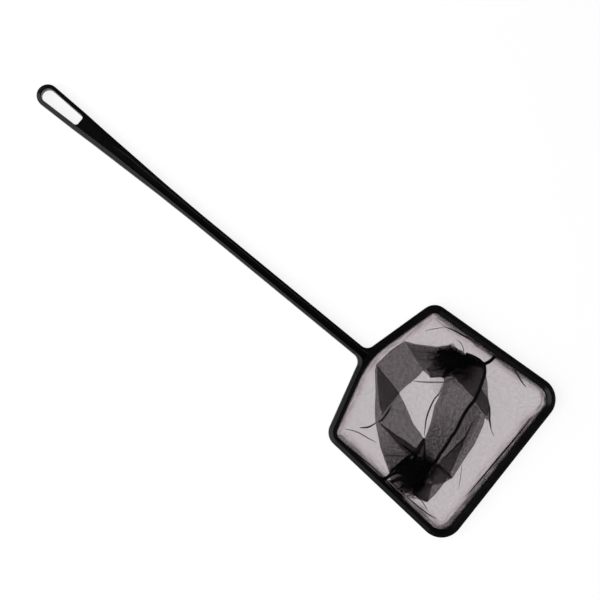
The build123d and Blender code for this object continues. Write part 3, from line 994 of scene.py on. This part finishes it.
def gather(name, centre, core, loose, strands, threads, seed):
    """Bunched cloth at a corner of the bag: a pleated core, rolled strands and looser cloth round it."""
    cloth = Cloth()
    centre = np.array(centre)
    angles = np.linspace(0, 2 * math.pi, GATHER_ANGLES, endpoint=False)
    core_reach = reach_of(core, centre, angles)
    loose_reach = reach_of(loose, centre, angles)
    add_core(cloth, centre, core, seed)
    for path, radius in strands:
        add_roll(cloth, path, radius, STRAND_LIFT, bunched)
    for path in threads:
        add_roll(cloth, path, LOOSE_THREAD, LOOSE_THREAD_LIFT, thread)
    for layer in range(GATHER_LAYERS):
        reach = core_reach + (loose_reach - core_reach) * (layer + 1) / GATHER_LAYERS
        add_loose_layer(cloth, layer, centre, core_reach, reach, angles, seed)
    return cloth.piece(name)


# Hem

def add_hem_sheet(cloth, places, show, level, finish, stretch, cover):
    """One layer of the net's edge, from the clamp to its show in the rim, its grain stretched along it."""
    run = np.roll(places[:-1], -1, axis=0) - np.roll(places[:-1], 1, axis=0)
    run = closed(run / np.linalg.norm(run, axis=1)[:, None])
    inward = np.column_stack([-run[:, 1], run[:, 0]])
    along = np.append(0, np.cumsum(np.linalg.norm(np.diff(places, axis=0), axis=1)))
    reach = RIM_BAR_WIDTH - CLAMP_INSET + np.maximum(show, 0)
    shares = np.linspace(0, 1, HEM_ROWS)
    count = len(places)
    depths = [reach * share for share in shares]
    points = np.vstack([places + inward * depth[:, None] for depth in depths])
    flat = np.column_stack([np.tile(along / stretch, HEM_ROWS), np.concatenate(depths)])
    thinning = smoothstep((np.repeat(shares, count) - HEM_SOFT_START) / (1 - HEM_SOFT_START))
    closing = np.tile(cover, HEM_ROWS) * (1 - thinning)
    heights = np.full(len(points), level)
    cloth.lay(points, strip_faces(HEM_ROWS, count), heights, finish, flat=flat, bunching=closing)


def along_tip(places):
    """How far places belong to the rim's tip, from 0 to 1."""
    x, y = places[:, 0], places[:, 1]
    return smoothstep((x - TIP_HEM_X) / TIP_HEM_RUN) * smoothstep((TIP_HEM_LEFT - y) / TIP_HEM_FADE)


def along_sides(places):
    """How far places belong to the rim's left and right sides, from 0 to 1."""
    x, y = places[:, 0], places[:, 1]
    past_shoulder = smoothstep((x - SIDE_HEM_X) / SIDE_HEM_RUN)
    left = past_shoulder * smoothstep(y / SIDE_HEM_SPREAD) * smoothstep((LEFT_HEM_END - x) / LEFT_HEM_FADE)
    return left, past_shoulder * smoothstep(-y / SIDE_HEM_SPREAD)


def turned_show(places):
    """Show of the turned edge: wide along the tip and both long sides, narrow beside the handle."""
    tip = along_tip(places)
    left, right = along_sides(places)
    wide = HEM_SHOW_TIP * tip + (1 - tip) * HEM_SHOW_SIDES * (left + right)
    waves = 1 + TURNED_WAVES * ripple(places, TURNED_WAVE_SEED)
    return HEM_SHOW + wide * waves + TURNED_RIPPLE * ripple(places, TURNED_RIPPLE_SEED, TURNED_RIPPLE_LENGTH)


def rim_shadow_show(places):
    """Show of the painted shadow of the rim, a thin sheet of bunched net past the turned edge."""
    waves = 1 + RIM_SHADOW_WAVES * ripple(places, RIM_SHADOW_WAVE_SEED, RIM_SHADOW_WAVE_LENGTH)
    return turned_show(places) + RIM_SHADOW_SHOW * waves


def rim_shadow_cover(places):
    """Cover of the painted rim shadow past the turned edge, darker round the tip's left corner."""
    x, y = places[:, 0], places[:, 1]
    corner = smoothstep((x - CORNER_X) / CORNER_X_RUN) * smoothstep((y - CORNER_Y) / CORNER_Y_RUN)
    return RIM_SHADOW_COVER + CORNER_SHADOW_COVER * corner


def bunched_show(places):
    """Show of the cloth that bunches where the side seams run into the hem, and along the tip."""
    return BUNCH_SHOW * (1 + BUNCH_WAVES * ripple(places, BUNCH_WAVE_SEED, BUNCH_WAVE_LENGTH))


def bunched_cover(places):
    """Cover of the bunched cloth: nearly closed at the ends of the side seams, and thin along the tip."""
    x, y = places[:, 0], places[:, 1]
    shares = np.zeros(len(places))
    for side, (start, full, last, end) in ((y > 0, LEFT_BUNCH), (y < 0, RIGHT_BUNCH)):
        shares += side * smoothstep((x - start) / (full - start)) * smoothstep((end - x) / (end - last))
    return BUNCH_COVER * shares + TIP_BUNCH_COVER * along_tip(places)


def hem_band(name):
    """Net's edge: turned over once, painted rim shadow past the fold, bunched by the seams and along the tip.
    """
    cloth = Cloth()
    places = divided(closed(rounded_outline(RIM_CORNERS, CLAMP_INSET)), HEM_STEP)
    whole = np.ones(len(places))
    for show, level, finish, stretch, cover in (
        (turned_show(places), HEM_HEIGHT + HEM_LAYER, slack_net, 1, whole),
        # the lowest layer is a painted shadow of the rim
        (rim_shadow_show(places), HEM_HEIGHT - HEM_LAYER, bunched, HEM_STREAK, rim_shadow_cover(places)),
        (bunched_show(places), HEM_HEIGHT + 2 * HEM_LAYER, bunched, HEM_STREAK, bunched_cover(places)),
    ):
        add_hem_sheet(cloth, places, show, level, finish, stretch, cover)
    return cloth.piece(name)


# Materials

def new_material(name):
    """A new material with its node tree and its shader."""
    material = bpy.data.materials.new(name)
    material.use_nodes = True
    return material, material.node_tree, material.node_tree.nodes["Principled BSDF"]


def set_inputs(tree, node, **inputs):
    """Sets a node's inputs by name, or links them where the value is another node's output."""
    for name, value in inputs.items():
        socket = node.inputs[name.replace("_", " ")]
        if isinstance(value, bpy.types.NodeSocket):
            tree.links.new(value, socket)
        else:
            socket.default_value = value


def add_node(tree, kind, mode=None, **inputs):
    """A new node with its inputs set."""
    node = tree.nodes.new(kind)
    if mode:
        node.mode = mode
    set_inputs(tree, node, **inputs)
    return node


def math_node(tree, operation, *values):
    """The result of a sum on values or other nodes' outputs."""
    node = tree.nodes.new("ShaderNodeMath")
    node.operation = operation
    for socket, value in zip(node.inputs, values):
        if isinstance(value, bpy.types.NodeSocket):
            tree.links.new(value, socket)
        else:
            socket.default_value = value
    return node.outputs[0]


def ranged(tree, value, span, result):
    """A value carried smoothly from one span to another."""
    low, high = span
    first, last = result
    node = add_node(
        tree, "ShaderNodeMapRange", Value=value, From_Min=low, From_Max=high, To_Min=first, To_Max=last
    )
    node.interpolation_type = "SMOOTHSTEP"
    return node.outputs["Result"]


def colours(tree, value, span, dark, light):
    """A value turned into a colour, from dark at the start of a span to light at its end."""
    ramp = add_node(tree, "ShaderNodeValToRGB", Fac=value)
    for element, place, colour in zip(ramp.color_ramp.elements, span, (dark, light)):
        element.position = place
        element.color = (*colour, 1)
    return ramp.outputs["Color"]


def speckle(tree, place, grain):
    """Soft random mottling of a given grain."""
    return add_node(tree, "ShaderNodeTexNoise", Vector=place, **grain).outputs["Fac"]


def relief(tree, height, strength, depth):
    """Normals of a fine relief with a depth in metres."""
    bump = add_node(tree, "ShaderNodeBump", Strength=strength, Distance=depth, Height=height)
    return bump.outputs["Normal"]


def black_plastic():
    """Satin black moulded plastic: faint mottling, fine moulded grain and a slightly uneven shine."""
    material, tree, shader = new_material("black_plastic")
    place = tree.nodes.new("ShaderNodeTexCoord").outputs["Object"]
    mottle = speckle(tree, place, PLASTIC_MOTTLE)
    grain = speckle(tree, place, PLASTIC_GRAIN)
    flow = speckle(tree, place, PLASTIC_FLOW)
    set_inputs(
        tree,
        shader,
        Base_Color=colours(tree, mottle, SPECKLE_SPAN, PLASTIC_DARK, PLASTIC_LIGHT),
        Roughness=ranged(tree, flow, SPECKLE_SPAN, PLASTIC_ROUGHNESS),
        Specular_IOR_Level=PLASTIC_GLOSS,
        Normal=relief(tree, grain, *PLASTIC_RELIEF),
    )
    return material


def net_threads(tree, thickness):
    """How much of the mesh is thread at each place: two sets of fine threads with a little wander."""
    weave = tree.nodes.new("ShaderNodeUVMap")
    weave.uv_map = "Weave"
    place = weave.outputs["UV"]
    drift = add_node(tree, "ShaderNodeTexNoise", Vector=place, **NET_DRIFT)
    shift = tree.nodes.new("ShaderNodeVectorMath")
    shift.operation = "MULTIPLY_ADD"
    tree.links.new(drift.outputs["Color"], shift.inputs[0])
    shift.inputs[1].default_value = (NET_WANDER, NET_WANDER, 0)
    tree.links.new(place, shift.inputs[2])
    in_pitches = add_node(tree, "ShaderNodeMapping", Vector=shift.outputs["Vector"])
    in_pitches.inputs["Scale"].default_value = (1 / NET_PITCH, 1 / NET_PITCH, 1)
    split = add_node(tree, "ShaderNodeSeparateXYZ", Vector=in_pitches.outputs["Vector"])
    half = thickness / NET_PITCH / 2
    edge = ((1 - THREAD_EDGE) * half, (1 + THREAD_EDGE) * half)
    threads = []
    for axis in ("X", "Y"):
        from_thread = math_node(tree, "PINGPONG", split.outputs[axis], 0.5)
        threads.append(ranged(tree, from_thread, edge, (1.0, 0.0)))
    return math_node(tree, "MAXIMUM", *threads), place


def see_through(material, tree, shader, cover, tint):
    """Lets light through where the cloth doesn't cover."""
    hole = add_node(tree, "ShaderNodeBsdfTransparent", Color=(*tint, 1))
    mix = add_node(tree, "ShaderNodeMixShader", Fac=cover)
    tree.links.new(hole.outputs["BSDF"], mix.inputs[1])
    tree.links.new(shader.outputs["BSDF"], mix.inputs[2])
    tree.links.new(mix.outputs["Shader"], tree.nodes["Material Output"].inputs["Surface"])
    return material


def net_mesh(name, thickness, gap_cover, unevenness, tint):
    """Fine black nylon mesh: dark threads, and gaps between them that finer loops and fuzz part close."""
    material, tree, shader = new_material(name)
    threads, place = net_threads(tree, thickness)
    fibre = speckle(tree, place, NET_FIBRE)
    set_inputs(
        tree,
        shader,
        Base_Color=colours(tree, fibre, SPECKLE_SPAN, NET_DARK, NET_LIGHT),
        Roughness=NET_ROUGHNESS,
        Specular_IOR_Level=NET_GLOSS,
    )
    fuzz = speckle(tree, place, NET_FUZZ)
    uneven = math_node(tree, "MULTIPLY_ADD", fuzz, unevenness, -unevenness / 2)
    cover = math_node(tree, "ADD", ranged(tree, threads, (0.0, 1.0), (gap_cover, THREAD_COVER)), uneven)
    return see_through(material, tree, shader, cover, tint)


def bunched_net():
    """The same mesh many layers deep: closed in the middle of a bunch, streaked and thin at its edge."""
    material, tree, shader = new_material("bunched_net")
    threads, place = net_threads(tree, SLACK_THREAD)
    set_inputs(
        tree,
        shader,
        Base_Color=colours(tree, threads, (0.0, 1.0), BUNCH_DARK, BUNCH_LIGHT),
        Roughness=BUNCH_ROUGHNESS,
        Specular_IOR_Level=BUNCH_GLOSS,
        Normal=relief(tree, threads, *BUNCH_RELIEF),
    )
    depth = tree.nodes.new("ShaderNodeAttribute")
    depth.attribute_name = "Bunching"
    streaks = speckle(tree, place, BUNCH_GRAIN)
    streak = ranged(tree, streaks, STREAK_SPAN, (-BUNCH_STREAKS, BUNCH_STREAKS))
    cover = math_node(tree, "MULTIPLY_ADD", depth.outputs["Fac"], streak, depth.outputs["Fac"])
    return see_through(material, tree, shader, cover, SLACK_TINT)


def seam_thread():
    """Black overlocked thread: fine twist and a soft, dull sheen."""
    material, tree, shader = new_material("seam_thread")
    place = tree.nodes.new("ShaderNodeTexCoord").outputs["Object"]
    twist = speckle(tree, place, THREAD_TWIST)
    set_inputs(
        tree,
        shader,
        Base_Color=colours(tree, twist, SPECKLE_SPAN, THREAD_DARK, THREAD_LIGHT),
        Roughness=THREAD_ROUGHNESS,
        Specular_IOR_Level=THREAD_GLOSS,
        Normal=relief(tree, twist, *THREAD_RELIEF),
    )
    return material


def white_floor():
    """Pale floor that shows white to the eye and still takes the object's shadow."""
    material = bpy.data.materials.new("white_floor")
    material.use_nodes = True
    tree = material.node_tree
    tree.nodes.clear()
    sight = tree.nodes.new("ShaderNodeLightPath")
    seen = math_node(tree, "ADD", sight.outputs["Is Camera Ray"], sight.outputs["Is Glossy Ray"])
    seen = math_node(tree, "ADD", seen, sight.outputs["Is Transmission Ray"])
    glow = math_node(tree, "MULTIPLY", seen, FLOOR_GLOW)
    pale = add_node(tree, "ShaderNodeBsdfDiffuse", Color=(FLOOR_COLOUR, FLOOR_COLOUR, FLOOR_COLOUR, 1))
    light = add_node(tree, "ShaderNodeEmission", Strength=glow)
    both = tree.nodes.new("ShaderNodeAddShader")
    tree.links.new(pale.outputs[0], both.inputs[0])
    tree.links.new(light.outputs[0], both.inputs[1])
    out = tree.nodes.new("ShaderNodeOutputMaterial")
    tree.links.new(both.outputs[0], out.inputs["Surface"])
    return material


# Stitching by Geometry Nodes

def new_tree(name, sizes):
    """A node tree with a geometry, named sizes and a material to set."""
    tree = bpy.data.node_groups.new(name, "GeometryNodeTree")
    tree.interface.new_socket("Geometry", in_out="INPUT", socket_type="NodeSocketGeometry")
    for size in sizes:
        tree.interface.new_socket(size, in_out="INPUT", socket_type="NodeSocketFloat")
    tree.interface.new_socket("Material", in_out="INPUT", socket_type="NodeSocketMaterial")
    tree.interface.new_socket("Geometry", in_out="OUTPUT", socket_type="NodeSocketGeometry")
    return tree, tree.nodes.new("NodeGroupInput"), tree.nodes.new("NodeGroupOutput")


def finish_tree(tree, geometry, given, result):
    """Ends a tree in plain faces with the material set."""
    plain = add_node(tree, "GeometryNodeRealizeInstances", Geometry=geometry).outputs["Geometry"]
    smooth = add_node(tree, "GeometryNodeSetShadeSmooth", Geometry=plain).outputs["Geometry"]
    done = add_node(tree, "GeometryNodeSetMaterial", Geometry=smooth, Material=given.outputs["Material"])
    tree.links.new(done.outputs["Geometry"], result.inputs["Geometry"])


def sized(tree, geometry, width, height, depth):
    """A shape one across or one in radius, stretched to its sizes."""
    size = add_node(tree, "ShaderNodeCombineXYZ", X=width, Y=height, Z=depth).outputs["Vector"]
    return add_node(tree, "GeometryNodeTransform", Geometry=geometry, Scale=size).outputs["Geometry"]


def stretched_ring(tree, width, height, sides):
    """A closed curve as wide and high as given."""
    ring = add_node(tree, "GeometryNodeCurvePrimitiveCircle", Resolution=sides, Radius=0.5)
    return sized(tree, ring.outputs["Curve"], width, height, 1.0)


def scaled(tree, value, factor):
    """A value times a factor."""
    return math_node(tree, "MULTIPLY", value, factor)


def upright_path(tree, given):
    """The path of a tree, with its normals kept upright, and places along it at the tree's pitch."""
    upright = add_node(tree, "GeometryNodeSetCurveNormal", "Z_UP", Curve=given.outputs["Geometry"])
    path = upright.outputs["Curve"]
    places = add_node(tree, "GeometryNodeCurveToPoints", "LENGTH", Curve=path, Length=given.outputs["Pitch"])
    return path, places


def overlock_tree():
    """A rolled seam along a path, with thread looped over it at an even pitch."""
    tree, given, result = new_tree("overlocked_seam", ["Width", "Height", "Pitch", "Thread"])
    path, places = upright_path(tree, given)
    width, height = given.outputs["Width"], given.outputs["Height"]
    roll = add_node(
        tree,
        "GeometryNodeCurveToMesh",
        Curve=path,
        Profile_Curve=stretched_ring(tree, width, height, SEAM_SIDES),
        Fill_Caps=True,
    )
    loop_width = scaled(tree, width, LOOP_WIDTH_SHARE)
    loop_height = scaled(tree, height, LOOP_HEIGHT_SHARE)
    section = add_node(
        tree, "GeometryNodeCurvePrimitiveCircle", Resolution=THREAD_SIDES, Radius=given.outputs["Thread"]
    )
    loop = add_node(
        tree,
        "GeometryNodeCurveToMesh",
        Curve=stretched_ring(tree, loop_width, loop_height, LOOP_SIDES),
        Profile_Curve=section.outputs["Curve"],
    )
    tilt = tree.nodes.new("FunctionNodeRandomValue")
    tilt.data_type = "FLOAT_VECTOR"
    set_inputs(tree, tilt, Min=LOOP_TILT_LEAST, Max=LOOP_TILT_MOST, Seed=LOOP_TILT_SEED)
    turn = add_node(
        tree,
        "FunctionNodeRotateRotation",
        Rotation=places.outputs["Rotation"],
        Rotate_By=tilt.outputs["Value"],
    )
    turn.rotation_space = "LOCAL"
    loops = add_node(
        tree,
        "GeometryNodeInstanceOnPoints",
        Points=places.outputs["Points"],
        Instance=loop.outputs["Mesh"],
        Rotation=turn.outputs["Rotation"],
    )
    both = tree.nodes.new("GeometryNodeJoinGeometry")
    tree.links.new(roll.outputs["Mesh"], both.inputs["Geometry"])
    tree.links.new(loops.outputs["Instances"], both.inputs["Geometry"])
    finish_tree(tree, both.outputs["Geometry"], given, result)
    return tree


def running_stitch_tree():
    """Short straight stitches along a path, at an even pitch."""
    tree, given, result = new_tree("running_stitch", ["Length", "Pitch", "Thread"])
    _, places = upright_path(tree, given)
    ball = add_node(
        tree, "GeometryNodeMeshUVSphere", Segments=STITCH_SEGMENTS, Rings=STITCH_RINGS, Radius=1.0
    )
    half_length = scaled(tree, given.outputs["Length"], 0.5)
    radius = given.outputs["Thread"]
    stitches = add_node(
        tree,
        "GeometryNodeInstanceOnPoints",
        Points=places.outputs["Points"],
        Instance=sized(tree, ball.outputs["Mesh"], radius, radius, half_length),
        Rotation=places.outputs["Rotation"],
    )
    finish_tree(tree, stitches.outputs["Instances"], given, result)
    return tree


def along_path(name, points, tree, sizes, cyclic=False):
    """A mesh of thread made by a node tree along a path of points in millimetres."""
    curve = bpy.data.curves.new(name + "_path", "CURVE")
    curve.dimensions = "3D"
    spline = curve.splines.new("POLY")
    spline.points.add(len(points) - 1)
    for point, (x, y, z) in zip(spline.points, points):
        point.co = (x * MM, y * MM, z * MM, 1)
    spline.use_cyclic_u = cyclic
    path = placed(name + "_path", curve)
    modifier = path.modifiers.new("stitching", "NODES")
    modifier.node_group = tree
    for item in tree.interface.items_tree:
        if item.in_out == "INPUT" and item.name in sizes:
            modifier[item.identifier] = sizes[item.name] * MM
        if item.in_out == "INPUT" and item.name == "Material":
            modifier[item.identifier] = thread
    ready = path.evaluated_get(bpy.context.evaluated_depsgraph_get())
    mesh = bpy.data.meshes.new_from_object(ready)
    mesh.name = name
    piece = placed(name, mesh)
    bpy.data.objects.remove(path)
    return piece


# Seams

def lifted(line, height, lift):
    """A plan line laid on a sheet, raised by a lift."""
    return np.column_stack([line, height(line) + lift])


def side_seam(name, plan_in, plan_out):
    """Seam up one side of the bag, made as it is when drawn out and then folded flat with the wall."""
    start = plan_in[inside(plan_in, rounded_outline(RIM_CORNERS, SEAM_HEM_INSET))]
    inward = lifted(smooth_line(start, SEAM_STEP), lower_wall_height, 0)
    outward = lifted(smooth_line(plan_out, SEAM_STEP), upper_wall_height, 0)
    path = np.vstack([inward, outward[1:]])
    path[:, 2] = drawn_out(path[:, 2]) + SEAM_LIFT
    seam = along_path(name, path, overlock, seam_sizes)
    corners = seam.data.vertices
    heights = laid_flat(np.array([corner.co.z for corner in corners]) / MM) * MM
    for corner, height in zip(corners, heights):
        corner.co.z = height
    seam.data.update()
    return seam


# Plan lines of the seams and the two halves of the hem
left_seam_hem = nearest(clamp_line, (LEFT_SEAM_HEM_X, RIM_TIP_WIDTH / 2))
right_seam_hem = nearest(clamp_line, (RIGHT_SEAM_HEM_X, -RIM_TIP_WIDTH / 2))
left_seam_plan = np.vstack([left_seam_hem, LEFT_SEAM_IN])
right_seam_plan = np.vstack([right_seam_hem, RIGHT_SEAM_IN])
left_seam_in = divided(left_seam_plan, CLOTH_SPACING)
right_seam_in = divided(right_seam_plan, CLOTH_SPACING)
left_seam_out = divided(LEFT_SEAM_OUT, CLOTH_SPACING)
right_seam_out = divided(RIGHT_SEAM_OUT, CLOTH_SPACING)
bottom_seam = divided(BOTTOM_SEAM, CLOTH_SPACING)
hem_handle_side = between(clamp_line, left_seam_hem, right_seam_hem)
hem_tip_side = between(clamp_line, right_seam_hem, left_seam_hem)
right_seam_end = right_seam_in[:RIGHT_SEAM_END_POINTS]
left_seam_end = left_seam_in[:LEFT_SEAM_END_POINTS][::-1]
handle_area = joined(hem_handle_side, np.vstack([right_seam_end, bottom_seam[::-1], left_seam_end]))

# Finishes
plastic = black_plastic()
taut_net = net_mesh("net_mesh", TAUT_THREAD, TAUT_GAP_COVER, TAUT_UNEVEN, TAUT_TINT)
slack_net = net_mesh("slack_net_mesh", SLACK_THREAD, SLACK_GAP_COVER, SLACK_UNEVEN, SLACK_TINT)
bunched = bunched_net()
thread = seam_thread()
for node in ("handle", "rim", "retaining_hoop"):
    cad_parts[node].data.materials.clear()
    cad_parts[node].data.materials.append(plastic)

# Pieces
handle_panel = net_panel("net_panel_handle_side", True)
tip_panel = net_panel("net_panel_tip_side", False)
# the hem piece also holds the painted shadow of the rim
hem = hem_band("hem_edge_and_rim_shadow")
overlock = overlock_tree()
running_stitch = running_stitch_tree()
seam_sizes = {"Width": SEAM_WIDTH, "Height": SEAM_HEIGHT, "Pitch": STITCH_PITCH, "Thread": STITCH_THREAD}
hem_stitch_sizes = {"Length": HEM_STITCH_LENGTH, "Pitch": HEM_STITCH_PITCH, "Thread": STITCH_THREAD}
left_seam = side_seam("seam_left", left_seam_plan, LEFT_SEAM_OUT)
right_seam = side_seam("seam_right", right_seam_plan, RIGHT_SEAM_OUT)
floor_seam_plan = smooth_line(BOTTOM_SEAM_LEFT_END + BOTTOM_SEAM[1:], SEAM_STEP)
floor_seam_path = lifted(floor_seam_plan, floor_height, BOTTOM_SEAM_LIFT)
floor_seam = along_path("seam_bottom", floor_seam_path, overlock, seam_sizes)
stitch_plan = divided(closed(rounded_outline(RIM_CORNERS, HEM_STITCH_INSET)), HEM_STITCH_STEP)[:-1]
stitch_path = np.column_stack([stitch_plan, np.full(len(stitch_plan), HEM_HEIGHT + HEM_LAYER)])
hem_stitches = along_path("hem_stitches", stitch_path, running_stitch, hem_stitch_sizes, cyclic=True)
left_gather = gather(
    "gather_left",
    LEFT_GATHER_CENTRE,
    LEFT_CORE,
    LEFT_LOOSE,
    LEFT_STRANDS,
    LEFT_LOOSE_THREADS,
    LEFT_GATHER_SEED,
)
right_gather = gather(
    "gather_right",
    RIGHT_GATHER_CENTRE,
    RIGHT_CORE,
    RIGHT_LOOSE,
    RIGHT_STRANDS,
    [],
    RIGHT_GATHER_SEED,
)

# How the pieces follow the frame
for piece in (handle_panel, tip_panel, left_seam, right_seam):
    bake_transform(piece)
for piece in (floor_seam, left_gather, right_gather):
    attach(piece, "bag_bottom")
for piece in (hem, hem_stitches):
    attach(piece, "frame")
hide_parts("net_wall_handle_side", "net_floor_handle_side")
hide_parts("net_wall_tip_side", "net_floor_tip_side")
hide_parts("side_seam_left")
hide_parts("side_seam_right")
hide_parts("bottom_seam")
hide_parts("corner_gather_left")
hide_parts("corner_gather_right")
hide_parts("hem_band")

# Floor and world
half = FLOOR_SIZE / 2
floor_corners = [(-half, -half, 0), (half, -half, 0), (half, half, 0), (-half, half, 0)]
floor_mesh = bpy.data.meshes.new("floor")
floor_mesh.from_pydata(floor_corners, [], [(0, 1, 2, 3)])
floor_mesh.materials.append(white_floor())
floor = placed("floor", floor_mesh)
floor.location.z = -FLOOR_DROP
world = bpy.data.worlds.new("studio")
world.use_nodes = True
world_colour = (WORLD_LIGHT, WORLD_LIGHT, WORLD_LIGHT, 1)
world.node_tree.nodes["Background"].inputs["Color"].default_value = world_colour
bpy.context.scene.world = world

# Picture directions on the floor: the handle runs down to the right in the picture
roll = math.radians(CAMERA_ROLL)
picture_right = Vector((math.cos(roll), math.sin(roll), 0))
picture_up = Vector((-math.sin(roll), math.cos(roll), 0))
straight_up = Vector((0, 0, 1))
aim = Vector(CAMERA_AIM) * MM

# Softbox low on the picture's left, and a fill light overhead that leaves no highlights
swing, tilt = math.radians(KEY_AZIMUTH), math.radians(KEY_ELEVATION)
towards_key = (-picture_right * math.cos(swing) + picture_up * math.sin(swing)) * math.cos(tilt)
towards_key += straight_up * math.sin(tilt)
key = bpy.data.lights.new("softbox", "AREA")
key.shape = "RECTANGLE"
key.size, key.size_y = KEY_SIZE
key.energy = KEY_POWER
softbox = placed("softbox", key)
softbox.location = aim + towards_key * KEY_DISTANCE
softbox.rotation_euler = (-towards_key).to_track_quat("-Z", "Y").to_euler()
fill_light = bpy.data.lights.new("overhead", "AREA")
fill_light.size = FILL_SIZE
fill_light.energy = FILL_POWER
overhead = placed("overhead", fill_light)
overhead.location = aim + straight_up * FILL_HEIGHT
overhead.visible_glossy = False

# Camera above the net, leaning a little
lens = bpy.data.cameras.new("camera")
lens.sensor_width = SENSOR_WIDTH
lens.lens = lens.sensor_width * CAMERA_DISTANCE / (VIEW_WIDTH * MM)
camera = placed("camera", lens)
lean_x, lean_y = (math.sin(math.radians(lean)) for lean in CAMERA_LEAN)
camera_back = Vector((lean_x, lean_y, math.sqrt(1 - lean_x**2 - lean_y**2)))
camera_up = (picture_up - camera_back * picture_up.dot(camera_back)).normalized()
turn = Matrix((camera_up.cross(camera_back), camera_up, camera_back)).transposed()
camera.matrix_world = Matrix.Translation(aim + camera_back * CAMERA_DISTANCE) @ turn.to_4x4()
bpy.context.scene.camera = camera
bpy.context.scene.view_settings.view_transform = "Standard"
